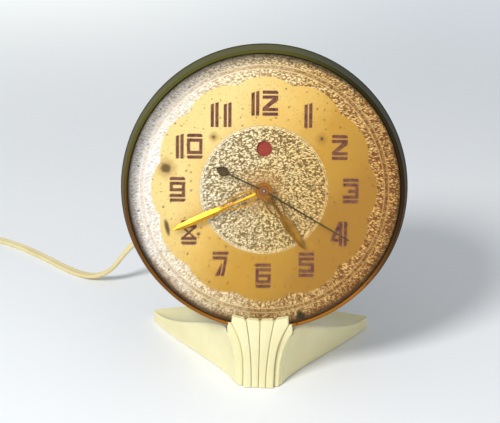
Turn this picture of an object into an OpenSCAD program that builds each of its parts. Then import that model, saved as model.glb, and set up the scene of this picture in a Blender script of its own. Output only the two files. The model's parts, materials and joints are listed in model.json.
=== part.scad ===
/* [Head] */
// Diameter over the rolled edge of the bezel
bezel_d = 156; // [152:1:164]
// Width of the bezel band, from the lip's opening to the rolled edge
band_w = 6; // [5.4:0.1:7]
// Depth of the bezel's skirt behind the dial face
skirt_depth = 12; // [11:0.5:15]
// Thickness of the bezel sheet
bezel_t = 0.9; // [0.7:0.05:1.1]
// Radius of the rolled edge
bead_r = 0.9; // [0.7:0.05:1.1]
// Backward tilt of the head, in degrees
tilt = 16; // [14:0.5:18]
// Lap of the glass and dial behind the lip
dial_lap = 1.9; // [1.6:0.1:2.2]
// Thickness of the glass
glass_t = 1.5; // [1.2:0.1:1.8]
// Rise of the domed glass at its middle
glass_rise = 3.4; // [2:0.1:5]
// Gap between the tip of the sweep hand and the glass
glass_gap = 0.47; // [0.3:0.01:1]

/* [Rear cover] */
// Step of the cover's round wall inside the rolled edge
cover_inset = 3.7; // [3.5:0.1:5]
// Gap between the motor's winding and the inside of the cover's back
cover_gap = 0.95; // [0.5:0.05:6]
// Diameter of the cover's flat back
cover_back_d = 118; // [116:1:124]
// Wall of the cover
cover_t = 1.4; // [1.1:0.1:1.8]
// Number of vent slots
vent_count = 6; // [4:1:7]
// Width of one vent slot
vent_w = 2.4; // [1.8:0.1:3]
// Length of one vent slot
vent_len = 20; // [12:1:22]

/* [Dial] */
// Thickness of the dial sheet
dial_t = 0.8; // [0.6:0.1:1]
// Distance of the outer raised ring inside the bezel's opening
bead_ring_in = 5.4; // [4:0.1:7]
// Step between the two fine raised rings
bead_ring_step = 2.3; // [1.8:0.1:3]
// Step from the inner raised ring to the tips of the chapter ring's scallops
ring_margin = 3.9; // [3:0.1:5]
// Width of the chapter ring, from the silvered middle to the scallops' tips
chapter_w = 26.15; // [24:0.05:28]
// Radius of one scallop's arc
lobe_r = 24.3; // [23:0.1:26]
// Thickness of the chapter ring
ring_t = 0.15; // [0.1:0.05:0.2]
// Gap between the silvered middle and the feet of the numerals
numeral_gap = 5.4; // [4:0.05:7]
// Height of a numeral
numeral_h = 13.3; // [11:0.1:14]
// Small turn at which the dial sits in its case, in degrees
dial_turn = 1.1; // [0:0.1:2]
// Thickness of the numerals' enamel
numeral_t = 0.1; // [0.06:0.02:0.16]
// Radius of the signal window
window_r = 4.2; // [3.6:0.1:4.6]
// Gap between the signal window and the rim of the silvered middle
window_edge = 7.95; // [6:0.05:9]

/* [Hands] */
// Length of the hour hand from the axis
hour_len = 38.4; // [35:0.2:40]
// Length of the minute hand from the axis
minute_len = 53.5; // [50:0.5:55]
// Length of the sweep second hand from the axis
second_len = 52.5; // [50:0.5:55]
// Distance of the counterweight leaf's middle from the axis
leaf_at = 24.4; // [22:0.2:27]
// Hour hand's angle clockwise from twelve
hour_angle = 143.5; // [0:0.1:360]
// Minute hand's angle clockwise from twelve
minute_angle = 244.9; // [0:0.1:360]
// Second hand's angle clockwise from twelve
second_angle = 118.8; // [0:0.1:360]
// Bend of the counterweight's arm against the pointer, in degrees
leaf_bend = 4.5; // [0:0.5:6]
// Thickness of the hands' sheet
hand_t = 0.45; // [0.35:0.05:0.55]
// Radius of the minute hand's collet
collet_r = 4.7; // [4.2:0.1:5]

/* [Movement] */
// Gap from the dial's back to the front plate
plate_gap = 6.2; // [6.1:0.1:7]
// Thickness of the movement plates
plate_t = 1.4; // [1.2:0.1:1.6]
// Clear space between the movement plates
train_gap = 9.8; // [9.6:0.1:11]
// Radius of the sweep second arbor
arbor_r = 0.6; // [0.55:0.05:0.7]
// Wall of the minute cannon
cannon_t = 0.65; // [0.55:0.05:0.75]
// Wall of the hour pipe
hour_pipe_t = 0.75; // [0.65:0.05:0.85]
// Radial running clearance
run_c = 0.05; // [0.03:0.01:0.08]
// Gap between the centre wheel's teeth and the set shaft
set_gap = 1.28; // [1:0.02:2]
// Direction of the set arbor, in degrees from the right
set_dir = 150; // [146:1:154]
// Distance from the middle to the third arbor
third_distance = 14; // [13.8:0.1:14.3]
// Distance from the middle to the motor's shaft
motor_distance = 11.5; // [11.2:0.1:11.8]
// Radius of the set shaft
set_shaft_r = 1.5; // [1.3:0.1:1.7]
// Diameter of the set knob
knob_d = 18; // [15:0.5:20]
// Length of the set knob
knob_len = 9; // [7:0.5:12]

/* [Motor] */
// Radius of the sealed rotor unit
rotor_r = 16; // [15:0.25:16.5]
// Length of the sealed rotor unit
rotor_len = 17; // [14:0.5:19]
// Thickness of the laminated field stack
core_t = 8; // [6:0.5:9]
// Width of the field's legs
leg_w = 9; // [8:0.25:9.5]
// Depth of the winding over the stack
winding_t = 5.5; // [4:0.25:6]
// Length of the winding
winding_len = 25; // [20:0.5:27]

/* [Base] */
// Width of the base over its wing tips
base_w = 127; // [120:1:134]
// Thickness of the flutes in front of the bezel's lip
flute_wall = 3.3; // [2.6:0.1:5]
// Distance of the rear edge behind the dial's middle
base_rear = 46; // [44:0.5:52]
// Height of the saddle that carries the head
saddle_h = 26.4; // [24:0.2:30]
// Height of the wing tips
tip_h = 6.5; // [5:0.5:8]
// Wall of the hollow wings
base_wall = 3.2; // [2.5:0.1:4]
// Width of one flute at its foot
flute_w = 3.87; // [3.6:0.01:4.1]
// Extra width that a flute gains at its top
flute_flare = 3.7; // [3:0.1:4]
// Thickness of the felt
felt_t = 1; // [0.8:0.1:1.4]
// Height of the base's edge above the table
edge_lift = 0.4; // [0.3:0.05:0.6]

/* [Cord and plug] */
// Width of the flat two core cord
cord_w = 5.4; // [5:0.1:5.6]
// Thickness of the flat cord
cord_t = 2.7; // [2.4:0.1:2.8]
// Length of the tapered sleeve at the cover
sleeve_len = 24; // [20:1:30]
// Largest turn of the stored coil
coil_outer = 35; // [34.6:0.1:36]
// Gap between neighbouring turns and layers of the coil
coil_gap = 0.5; // [0.45:0.05:0.7]
// Width of the plug
plug_w = 24; // [22:0.5:28]
// Height of the plug
plug_h = 15; // [14:0.5:18]
// Length of the plug's body
plug_len = 25; // [22:0.5:30]
// Length of the blades
blade_len = 16; // [15:0.5:18]

/* [Hidden] */
$fn = 96;
eps = 0.01;
ivory = [0.93, 0.90, 0.78];
brass = [0.80, 0.62, 0.26];
aged_brass = [0.48, 0.34, 0.14];
steel = [0.62, 0.63, 0.64];
maroon = [0.30, 0.14, 0.12];
phenolic = [0.20, 0.13, 0.09];

far = 100;

// Hands' stack: heights of the three hands' undersides above the dial's face
hour_z = 2.3;
minute_z = 3.7;
second_z = 5.2;
sweep_lift = 0.1;
sweep_t = 0.3;

// Head: z points out of the dial, the dial's face is at zero
bezel_r = bezel_d / 2;
opening_r = bezel_r - band_w;
dial_r = opening_r + dial_lap;
nose_w = 2.4;
nose_h = 1.2;
lip_t = 2.2;
nose_r = opening_r + nose_w;
dome_r = opening_r - 0.4;
function dome(r) = glass_rise * (1 - pow(min(r, dome_r) / dome_r, 2));
glass_back = second_z + sweep_lift + sweep_t + glass_gap - dome(second_len);
glass_front = glass_back + glass_t;
lip_h = glass_front + lip_t;
nose_top = lip_h - nose_h;
fit_c = 0.15;
bead_a = acos(bezel_t / 2 / bead_r);
skirt_r = bezel_r - bead_r + bezel_t / 2;
skirt_end = -skirt_depth + bead_r * sin(bead_a);
function skirt_at(z) = nose_r + (skirt_r - nose_r) * (nose_top - z) / (nose_top - skirt_end);
function skirt_in(z) = skirt_at(z) - bezel_t;
glass_r = min(dial_r, skirt_in(glass_front)) - 0.2;
cover_r = bezel_r - cover_inset;
flange_t = 1.5;
back_r = cover_back_d / 2;
shoulder_steps = 6;
strap_t = 2;
strap_w = 10;
strap_end = 1.1;
saddle_depth = skirt_depth + bead_r + strap_end + strap_w / 2;
cover_round = saddle_depth + strap_w / 2 + 1;
seat_c = 0.1;
dial_h = saddle_h + (cover_r + seat_c) * cos(tilt) + saddle_depth * sin(tilt);
base_front = nose_r * sin(tilt) + lip_h * cos(tilt) + flute_wall;

// Heights through the movement, along the axis of the hands
front_plate_z = -dial_t - plate_gap;
front_back_z = front_plate_z - plate_t;
back_plate_z = front_back_z - train_gap;
back_back_z = back_plate_z - plate_t;
cannon_bore = arbor_r + run_c;
cannon_r = cannon_bore + cannon_t;
hour_bore = cannon_r + run_c;
hour_pipe_r = hour_bore + hour_pipe_t;
wheel_t = 0.8;

// Field, bobbin and winding, from which the cover takes its depth
bobbin_t = 0.8;
bobbin_c = 0.15;
bar_h = 8;
bobbin_y = bar_h / 2 + bobbin_c;
bobbin_z = core_t / 2 + bobbin_c;
flange_grow = bobbin_t + winding_t + 0.4;
flange_gap = 0.35;
core_mid = back_back_z - flange_gap - bobbin_z - flange_grow;
cover_depth = -core_mid + bobbin_z + flange_grow + cover_gap + cover_t;
leg_in = rotor_r - 1;
leg_out = leg_in + leg_w;
pillar_r = 2.2;
pillar_edge = 4;
post_gap = 0.8;
plate_x = leg_out + post_gap + pillar_r + pillar_edge;

// Teeth
cannon_teeth = 12;
minute_teeth = 36;
minute_pinion_teeth = 10;
hour_teeth = 40;
second_pinion_teeth = 8;
third_teeth = 60;
third_pinion_teeth = 8;
centre_teeth = 64;
rotor_teeth = 10;
second_teeth = 36;
pressure = 25;
backlash = 0.1;
addendum = 0.7;
dedendum = 0.95;
train_m = 2 * third_distance / (second_pinion_teeth + third_teeth);
slow_m = 2 * third_distance / (third_pinion_teeth + centre_teeth);
drive_m = 2 * motor_distance / (rotor_teeth + second_teeth);
centre_tip_r = slow_m * (centre_teeth / 2 + addendum);
set_distance = centre_tip_r + set_gap + set_shaft_r;
set_m = 2 * set_distance / (cannon_teeth + minute_teeth);
hour_m = 2 * set_distance / (minute_pinion_teeth + hour_teeth);
set_pos = set_distance * [cos(set_dir), sin(set_dir)];
third_pos = [third_distance, 0];
motor_pos = [0, -motor_distance];
rotor_pos = [0, -motor_distance - 2.5];

function bezier(p, t) = p[0] * pow(1 - t, 3) + p[1] * 3 * t * pow(1 - t, 2)
    + p[2] * 3 * t * t * (1 - t) + p[3] * pow(t, 3);
function head_point(p) = [p.x, p.y * sin(tilt) - p.z * cos(tilt),
    dial_h + p.y * cos(tilt) + p.z * sin(tilt)];
function unit(v) = v / norm(v);

// Places a child in the head's frame
module head() translate([0, 0, dial_h]) rotate([90 - tilt, 0, 0]) children();
// A cylinder of the head that runs from one height to another
module disc(r, z0, z1) translate([0, 0, min(z0, z1)]) cylinder(r = r, h = abs(z1 - z0));
module tube_ring(r, bore, z0, z1) difference() {
    disc(r, z0, z1);
    disc(bore, min(z0, z1) - 1, max(z0, z1) + 1);
}
module at(p) translate([p.x, p.y, 0]) children();

// A closed skin over rows of points; each row runs clockwise seen from before the first row
module skin(rows) {
    n = len(rows[0]);
    m = len(rows);
    polyhedron([for (row = rows) each row], concat(
        [[for (k = [0:n - 1]) k]], [[for (k = [n - 1:-1:0]) (m - 1) * n + k]],
        [for (i = [0:m - 2], k = [0:n - 1]) let(a = i * n + k, b = i * n + (k + 1) % n) [a, a + n, b]],
        [for (i = [0:m - 2], k = [0:n - 1]) let(a = i * n + k, b = i * n + (k + 1) % n) [b, a + n, b + n]]));
}

// Involute gears: profile points of one flank, then the whole outline
function involute_angle(base, r) = r <= base ? 0
    : sqrt(pow(r / base, 2) - 1) * 180 / PI - acos(base / r);
function gear_flank(pitch_r, m, teeth) = let(
    base = pitch_r * cos(pressure), tip = pitch_r + addendum * m, root = pitch_r - dedendum * m,
    half = 90 / teeth - backlash / 2 / pitch_r * 180 / PI / 2,
    at_pitch = involute_angle(base, pitch_r))
    [for (r = [root, max(base, root + 0.05 * m), pitch_r - 0.1 * m, pitch_r + 0.3 * m, tip])
        [r, half + at_pitch - involute_angle(base, r)]];
function gear_outline(m, teeth, phase) = let(flank = gear_flank(m * teeth / 2, m, teeth))
    [for (i = [0:teeth - 1]) let(a = phase + i * 360 / teeth)
        each concat(
            [for (q = flank) q[0] * [cos(a - q[1]), sin(a - q[1])]],
            [for (k = [len(flank) - 1:-1:0]) let(q = flank[k]) q[0] * [cos(a + q[1]), sin(a + q[1])]])];
// Phase of the driven gear that lies from the driver in direction dir
function meshed(phase, teeth, driven, dir) = dir + 180 + 180 / driven - (phase - dir) * teeth / driven;
module gear(m, teeth, phase, z0, h) translate([0, 0, z0]) linear_extrude(h)
    polygon(gear_outline(m, teeth, phase));
// Four crossings that lighten a wheel
module crossings(inner, outer, z0, h) for (a = [45:90:315]) rotate(a)
    translate([(inner + outer) / 2, 0, z0 - 1]) cylinder(r = (outer - inner) / 2, h = h + 2, $fn = 48);

// Slotted cheese head screw whose head sits above zero and whose shank points down
module screw(head_r, head_h, shank_r, length) difference() {
    union() {
        cylinder(r = head_r, h = head_h, $fn = 48);
        translate([0, 0, -length]) cylinder(r = shank_r, h = length + eps, $fn = 48);
    }
    translate([-head_r - 1, -head_r * 0.12, head_h * 0.55]) cube([2 * head_r + 2, head_r * 0.24, head_h]);
}

// Outline of the cover from its front rim to its flat back, moved in by w
function shoulder(w) = [for (i = [0:shoulder_steps]) let(t = i / shoulder_steps * 90)
    [back_r - w + (cover_r - back_r) * cos(t), -cover_round - (cover_depth - w - cover_round) * sin(t)]];
module cover_shape(w, front) rotate_extrude() polygon(concat(
    [[0, front], [cover_r - w, front]], shoulder(w), [[0, -cover_depth + w]]));

// Space taken by the head, grown by c, that the base is cut to
module head_space(c) {
    rotate_extrude() polygon([[0, lip_h + c], [nose_r + c, lip_h + c], [nose_r + c, nose_top],
        [bezel_r + c, -skirt_depth + bead_r], [bezel_r + c, -skirt_depth - bead_r - c],
        [0, -skirt_depth - bead_r - c]]);
    disc(cover_r + seat_c, -far, -skirt_depth);
}

// Base: the foot of one wing's front face with the heights over it, from beside the flutes to the
// tip; beside the flutes the face leans out over its foot, and its front corner is eased
wing_line = [[12.6, -base_front + 4.2, saddle_h + 4.6], [17.6, -base_front + 20.7, saddle_h + 7.6],
    [base_w / 2 - 13, base_rear - 27, tip_h - 2.4], [base_w / 2, base_rear - 3.4, tip_h]];
wing_steps = 13;
wing_lean = 5.3;
front_levels = 5;
corner = [-1.1, -0.5];
rear_mid_h = 12;
ridge_r = 1.6;
dish = 0.11;
wing_half = concat([[wing_line[0].x + corner.x, wing_line[0].y + corner.y, wing_line[0].z, wing_lean]],
    [for (i = [0:wing_steps]) let(t = i / wing_steps, p = bezier(wing_line, t))
        [p.x, p.y, p.z, wing_lean * pow(1 - t, 3)]]);
stations = concat([for (i = [len(wing_half) - 1:-1:0]) let(s = wing_half[i]) [-s.x, s.y, s.z, -s[3]]],
    wing_half);
function rear_h(x) = tip_h + (rear_mid_h - tip_h) * (1 - pow(abs(x) * 2 / base_w, 2));
// Section of the wings at one station, moved in by w, standing on level z0
function wing_section(s, w, z0) = let(
    front = s.y + w, back = base_rear - w, hf = s.z - w, hb = rear_h(s.x) - w,
    sink = dish * (back - front), r = min(ridge_r, (back - front) / 4))
    concat([for (k = [0:front_levels]) [front, z0 + (hf - r - z0) * k / front_levels]],
        [[front + r * 0.3, hf - r * 0.3], [front + r, hf]],
        [for (k = [1:6]) let(t = k / 7) [front + r + (back - front - 2 * r) * t,
            hf + (hb - hf) * t - sink * sin(180 * t)]],
        [[back - r, hb], [back - r * 0.3, hb - r * 0.3], [back, hb - r], [back, z0]]);
module wings(w, z0) skin([for (i = [len(stations) - 1:-1:0]) let(s = stations[i])
    if (w == 0 || abs(s.x) < base_w / 2 - 2.2 * w) [for (q = wing_section(s, w, z0))
        [s.x + s[3] * pow(max(0, min(1, q[1] / s.z)), 3), q[0], q[1]]]]);

// Flutes: edges in the front view, the stepped front faces and the arc of the tops
flute_rise = 14.9;
flute_top_r = bezel_r - flute_rise;
flute_tip_z = dial_h - flute_top_r;
flute_top_h = flute_tip_z + 3;
flute_steps = 14;
flute_depth = 7.2;
groove = 0.55;
outer_groove = 0.95;
// Outer edges from the middle outwards: half width at the foot, gain at the top, how late the gain
// comes, the half width that the edge is trimmed to, and the height where the trim starts
trim_half = 2 * (flute_w + flute_flare) + 0.26;
outer_edges = [[2 * flute_w + 0.56, 2 * flute_flare + 1.2, 3.5, trim_half, flute_tip_z - 2],
    [3 * flute_w - 0.2, 3 * flute_flare + 0.4, 3.2, trim_half + 2.2, flute_tip_z - 6]];
trim_lean = 0.12;
side_step = 2;
side_top_h = flute_tip_z - 2.4;
front_lean = 2.3;
side_lean = 0.7;
block_half = 14.5;
block_rear = 14;
hollow_half = 23;
hollow_front = 30;
notch = 1.9;
head_clear = 2;
screw_hole_r = 1.8;
counterbore_r = 3.6;
pocket_in = 1.4;
function flute_edge(j, z) = let(t = z / flute_tip_z, e = outer_edges[max(0, abs(j) - 2)])
    abs(j) < 2 ? j * (flute_w + flute_flare * pow(t, 2.2))
    : sign(j) * min(e[0] + e[1] * pow(t, e[2]), e[3] - trim_lean * max(0, z - e[4]));
// One flute from edge a to edge b, up to height top, whose face starts at step and leans back by lean
module flute(a, b, top, step, lean) skin([for (i = [0:flute_steps]) let(
    z = edge_lift + (top - edge_lift) * i / flute_steps, xa = flute_edge(a, z), xb = flute_edge(b, z),
    y = -base_front + step + lean * pow(max(0, z / flute_tip_z - 0.6) / 0.4, 1.6), back = y + flute_depth,
    ca = abs(a) < 2 ? groove : outer_groove, cb = abs(b) < 2 ? groove : outer_groove)
    [[xa, y + ca, z], [xa + ca, y, z], [xb - cb, y, z], [xb, y + cb, z], [xb, back, z], [xa, back, z]]]);
base_screw_x = 9;
base_web = 6;
module base_screw_at() for (s = [-1, 1]) translate([s * base_screw_x, 0, -saddle_depth]) children();

module base() color(ivory) difference() {
    union() {
        wings(0, edge_lift);
        for (j = [-2:1]) flute(j, j + 1, flute_top_h, 0, front_lean);
        for (j = [-3, 2]) flute(j, j + 1, side_top_h, side_step, side_lean);
        translate([0, 0, edge_lift]) linear_extrude(saddle_h + 8) intersection() {
            felt_outline(0.3);
            translate([-block_half, block_rear - far]) square([2 * block_half, far]);
        }
    }
    difference() {
        wings(base_wall, -base_wall);
        translate([-hollow_half, hollow_front - far, -far / 2]) cube([2 * hollow_half, far, far]);
    }
    head() head_space(seat_c);
    translate([0, -base_front - 10, dial_h]) rotate([-90, 0, 0])
        cylinder(r = flute_top_r, h = far / 2, $fn = 180);
    for (j = [-1:1]) let(x = flute_edge(j, flute_tip_z))
        translate([x, -base_front, dial_h - sqrt(pow(flute_top_r, 2) - x * x)])
            rotate([0, 45, 0]) cube([notch, far / 4, notch], center = true);
    head() base_screw_at() rotate([90, 0, 0]) {
        translate([0, 0, cover_r - head_clear]) cylinder(r = screw_hole_r, h = far, $fn = 48);
        translate([0, 0, cover_r + base_web]) cylinder(r = counterbore_r, h = far, $fn = 48);
    }
    translate([0, 0, -felt_t]) linear_extrude(2 * felt_t) felt_outline(pocket_in);
}

// Plan of the base's foot, moved in by w
function foot_edge(w) = [for (s = wing_half) if (s.x < base_w / 2 - 2 * w) [s.x - w * 0.8, s.y + w]];
module felt_outline(w) let(edge = foot_edge(w)) polygon(concat(edge,
    [[base_w / 2 - 3 * w, base_rear - w], [-base_w / 2 + 3 * w, base_rear - w]],
    [for (i = [len(edge) - 1:-1:0]) [-edge[i].x, edge[i].y]]));
module base_felt() color([0.23, 0.30, 0.20]) difference() {
    linear_extrude(felt_t) felt_outline(pocket_in + seat_c);
    for (s = [-1, 1]) hull() for (y = [-14, -2]) translate([s * base_screw_x, y, -1])
        cylinder(r = 4.2, h = felt_t + 2, $fn = 32);
}
module base_screws() color(steel) head() base_screw_at() rotate([90, 0, 0])
    translate([0, 0, cover_r + base_web]) screw(3.2, 2, 1.45, base_web + cover_t + strap_t + 2);
strap_half = 17;
module case_strap() color(steel) head() difference() {
    intersection() {
        tube_ring(cover_r - cover_t - run_c, cover_r - cover_t - strap_t, -saddle_depth - strap_w / 2,
            -saddle_depth + strap_w / 2);
        translate([-strap_half, -far, -far]) cube([2 * strap_half, far - cover_r / 2, far]);
    }
    base_screw_at() rotate([90, 0, 0]) translate([0, 0, cover_r - 12]) cylinder(r = 1.5, h = 14, $fn = 48);
}

// Bezel: a rolled sheet with a rounded lip, a flaring skirt and a bead at its rear edge
lip_r = nose_w / 2;
module bezel() color(aged_brass) head() rotate_extrude() polygon(concat([[opening_r, glass_front]],
    [for (a = [180:-30:0]) [opening_r + lip_r + lip_r * cos(a), nose_top + nose_h * sin(a)]],
    [for (a = [bead_a:-20:bead_a - 240]) [bezel_r - bead_r + bead_r * cos(a), -skirt_depth + bead_r * sin(a)]],
    [[skirt_r - bezel_t, skirt_end], [skirt_in(glass_front), glass_front]]));
glass_steps = 9;
module crystal() color([0.85, 0.90, 0.88, 0.25]) head() rotate_extrude() polygon(concat(
    [for (i = [0:glass_steps]) let(r = dome_r * i / glass_steps) [r, glass_back + dome(r)]],
    [[glass_r, glass_back], [glass_r, glass_front]],
    [for (i = [glass_steps:-1:0]) let(r = dome_r * i / glass_steps) [r, glass_front + dome(r)]]));
module spacer_ring() color(phenolic) head() tube_ring(dial_r - fit_c, opening_r + 0.35, 0, glass_back);

// Dial: a stamped sheet with raised rings, a signal window and a middle hole
outer_ring_r = opening_r - bead_ring_in;
inner_ring_r = outer_ring_r - bead_ring_step;
lobe_tip_r = inner_ring_r - ring_margin;
centre_r = lobe_tip_r - chapter_w;
window_h = centre_r - window_edge - window_r;
rim_beads = [centre_r - 1, centre_r - 0.1, inner_ring_r, outer_ring_r];
bead_w = 0.35;
bead_h = 0.25;
dial_hole_r = hour_pipe_r + 0.5;
module dial() color([0.80, 0.80, 0.76]) head() difference() {
    rotate_extrude() polygon(concat([[dial_hole_r, 0]],
        [for (r = rim_beads) each [[r - bead_w, 0], [r - bead_w / 2, bead_h], [r + bead_w / 2, bead_h],
            [r + bead_w, 0]]],
        [[dial_r, 0], [dial_r, -dial_t], [dial_hole_r, -dial_t]]));
    rotate(dial_turn) at([0, window_h]) disc(window_r, -dial_t - 1, 1);
}
lobe_at = lobe_tip_r - lobe_r;
module chapter_ring() color(brass) head() linear_extrude(ring_t) difference() {
    for (a = [0:30:330]) rotate(a + dial_turn) translate([lobe_at, 0]) circle(lobe_r);
    circle(centre_r + 0.35);
}

// Numerals: each digit is drawn on a grid 25 units tall and 15.6 wide, as parted strokes
digit_h = 25;
digit_w = 15.6;
stroke = 3.3;
cut = 1.3;
row_c = 11.2;
row_b = 16.9;
row_d = 4.6;
top_row = digit_h - stroke;
numeral_r = centre_r + numeral_gap + numeral_h / 2;
one_w = 7.9;
module row(y, x0 = 0, x1 = digit_w) translate([x0, y]) square([x1 - x0, stroke]);
module post(y0, y1, x) translate([x, y0]) square([stroke, y1 - y0]);
// An end strip whose outer corners are cut, left and right
module strip(y, up, left, right) let(d = up ? 1 : -1, base_y = up ? y : y + stroke)
    polygon([[0, base_y], [0, base_y + d * (stroke - (left ? cut : 0))],
        [left ? cut : 0, base_y + d * stroke], [digit_w - (right ? cut : 0), base_y + d * stroke],
        [digit_w, base_y + d * (stroke - (right ? cut : 0))], [digit_w, base_y]]);
module digit(n) {
    right = digit_w - stroke;
    if (n == 1) for (x = [0, one_w - stroke]) polygon([[x, 0], [x + stroke, 0],
        [x + stroke, digit_h - (x > 0 ? 0 : 1.4)], [x, digit_h - (x > 0 ? 1.2 : 2.6)]]);
    if (n == 2) {
        strip(top_row, true, false, true);
        row(row_b);
        row(row_d);
        polygon([[0, row_d], [0, row_d + stroke], [digit_w - 5, row_b + 0.5], [digit_w, row_b + 1],
            [digit_w, row_b - 1.6], [5, row_d + stroke - 0.5]]);
        row(0);
    }
    if (n == 3) {
        strip(top_row, true, false, true);
        row(row_b);
        row(row_c - 0.8, 5);
        row(row_d);
        post(row_d, row_b + stroke, right);
        strip(0, false, false, true);
    }
    if (n == 4) {
        difference() {
            polygon([[0, 4.6], [0, 7.2], [8.2, digit_h], [11.7, digit_h], [11.7, 0], [8.2, 0], [8.2, 4.6]]);
            polygon([[4, 7.7], [8.2, 7.7], [8.2, 16]]);
        }
        post(0, digit_h, 13.2);
    }
    if (n == 5) {
        row(top_row);
        row(row_b);
        row(row_c);
        row(row_d);
        post(row_c, row_b + stroke, 0);
        post(row_d, row_c + stroke, right);
        strip(0, false, false, true);
    }
    if (n == 6) {
        strip(top_row, true, true, false);
        row(row_b);
        row(row_c - 0.4);
        row(row_d);
        post(row_d, row_b + stroke, 0);
        post(row_d, row_c + stroke - 0.4, right);
        strip(0, false, true, true);
    }
    if (n == 7) {
        polygon([[0, top_row], [0, digit_h], [digit_w + 0.8, digit_h], [digit_w, top_row]]);
        row(row_b, 0, digit_w - 0.6);
        polygon([[12, row_b + 1], [digit_w - 0.6, row_b + 1], [11.7, 0], [8.5, 0]]);
        polygon([[9.3, 14], [9.3, 8.6], [7.1, 0], [2.3, 0]]);
    }
    if (n == 8) {
        strip(top_row, true, true, true);
        row(row_b);
        row(row_d);
        for (side = [0, 1]) translate([side * digit_w, 0]) mirror([side, 0]) polygon([[0.4, row_b + 0.6],
            [3.6, row_b + 0.6], [digit_w - 0.4, row_d + 2.4], [digit_w - 3.6, row_d + 2.4]]);
        strip(0, false, true, true);
    }
    if (n == 9) {
        strip(top_row, true, true, true);
        row(row_b);
        row(row_c - 0.8);
        row(row_d);
        post(row_c - 0.8, row_b + stroke, 0);
        post(row_d, row_b + stroke, right);
        strip(0, false, false, true);
    }
    if (n == 0) {
        strip(top_row, true, true, true);
        row(row_b);
        row(row_d);
        post(row_d, row_b + stroke, 0);
        post(row_d, row_b + stroke, right);
        strip(0, false, true, true);
    }
}
digit_gap = 3.2;
ones_gap = 5;
function digit_width(n) = n == 1 ? one_w : digit_w;
module hour_number(h) {
    tens = floor(h / 10);
    ones = h % 10;
    total = digit_width(ones) + (tens > 0 ? one_w + (ones == 1 ? ones_gap : digit_gap) : 0);
    scale(numeral_h / digit_h) translate([-total / 2, -digit_h / 2]) {
        if (tens > 0) digit(1);
        translate([total - digit_width(ones), 0]) digit(ones);
    }
}
module numerals() color(maroon) head() translate([0, 0, ring_t]) linear_extrude(numeral_t)
    rotate(dial_turn) for (h = [1:12]) translate(numeral_r * [sin(h * 30), cos(h * 30)]) hour_number(h);

// Signal flag: a red disc on a balanced lever that lifts clear of the window
flag_top = -dial_t - 0.6;
flag_t = 0.5;
flag_pivot = [23, window_h - 8.1];
flag_arm = norm(flag_pivot - [0, window_h]);
flag_dir = atan2(window_h - flag_pivot.y, -flag_pivot.x);
flag_pin_r = 1.2;
flag_boss_r = 2.6;
lever_half = 1.4;
lever_tail = 9;
weight_w = 5;
flag_lift = 25;
stop_r = 0.8;
stop_at = 5;
module signal_flag() color([0.66, 0.10, 0.08]) head() at(flag_pivot) difference() {
    translate([0, 0, flag_top - flag_t]) linear_extrude(flag_t) rotate(flag_dir) {
        translate([flag_arm, 0]) circle(window_r + 1.2);
        translate([-lever_tail, -lever_half]) square([flag_arm + lever_tail, 2 * lever_half]);
        circle(flag_boss_r);
        translate([-lever_tail - weight_w / 2, -flag_boss_r]) square([weight_w, 2 * flag_boss_r]);
    }
    disc(flag_pin_r + run_c, flag_top - 2, flag_top + 2);
}
// The flag's stud with its collar and clip, and the two pins that the lever stops at
module flag_stud() color(steel) head() at(flag_pivot) {
    disc(flag_pin_r, front_plate_z, flag_top + 0.3);
    disc(flag_boss_r - 0.4, flag_top - flag_t - 0.7, flag_top - flag_t - 0.1);
    disc(flag_boss_r - 0.6, flag_top + 0.1, flag_top + 0.45);
    for (side = [-1, 1]) rotate(flag_dir - (side > 0 ? flag_lift : 0))
        translate([-stop_at, side * (lever_half + stop_r + run_c), 0]) disc(stop_r, front_plate_z, flag_top);
}

// A hand's blade: a strip with a raised ridge, from rows of distance, half width and ridge height
module ridged(rows) skin([for (q = rows) [[-q[1], q[0], 0], [-q[1], q[0], hand_t * 0.6], [0, q[0], q[2]],
    [q[1], q[0], hand_t * 0.6], [q[1], q[0], 0]]]);
// A thin bowed strip beside the ridge, from the collet to the neck
function bow_edge(side, near, neck, start, bulge) = [for (i = [0:12]) let(t = i / 12)
    [side * (start + bulge * sin(180 * pow(t, 0.66))), near + (neck - near) * t]];
module bow(side, near, neck, bulge) linear_extrude(hand_t)
    let(inner = bow_edge(side, near, neck, 0.1, bulge - 0.15)) polygon(concat(
        bow_edge(side, near, neck, 0.9, bulge), [for (i = [len(inner) - 1:-1:0]) inner[i]]));
// Half widths of the blade: half_w over its first half, tip_w short of its tip
module hand(length, neck, bulge, half_w, tip_w, ridge_h, collar_r) {
    blade = length - neck;
    ridged([[collar_r - 0.6, 0.95, ridge_h * 0.8], [neck - 3, 0.8, ridge_h], [neck - 0.6, 1.2, ridge_h],
        [neck + 0.8, half_w * 0.85, ridge_h], [neck + blade * 0.25, half_w, ridge_h],
        [neck + blade * 0.6, half_w * 0.62 + tip_w * 0.38, ridge_h * 0.95],
        [neck + blade * 0.86, tip_w, ridge_h * 0.85], [length, 0.15, hand_t * 0.65]]);
    for (side = [-1, 1]) bow(side, collar_r - 0.5, neck + 0.6, bulge);
}
module turned_hand(angle, z) head() translate([0, 0, z]) rotate(-angle) children();
module hour_hand() color(aged_brass) turned_hand(hour_angle, hour_z) difference() {
    union() {
        hand(hour_len, 19, 3.4, 2.75, 1.2, 0.95, 4.1);
        cylinder(r = 4.1, h = 0.7);
    }
    translate([0, 0, -1]) cylinder(r = hour_pipe_r, h = 3);
}
module minute_hand() color(brass) turned_hand(minute_angle, minute_z) difference() {
    union() {
        hand(minute_len, 25, 3, 2.1, 1.5, 0.95, collet_r);
        cylinder(r = collet_r, h = 1.2);
    }
    translate([0, 0, -1]) cylinder(r = cannon_r, h = 4);
}
boss_r = 2.65;
leaf_half = 4;
leaf_near = -leaf_at + leaf_half;
leaf_w = 2.7;
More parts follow.
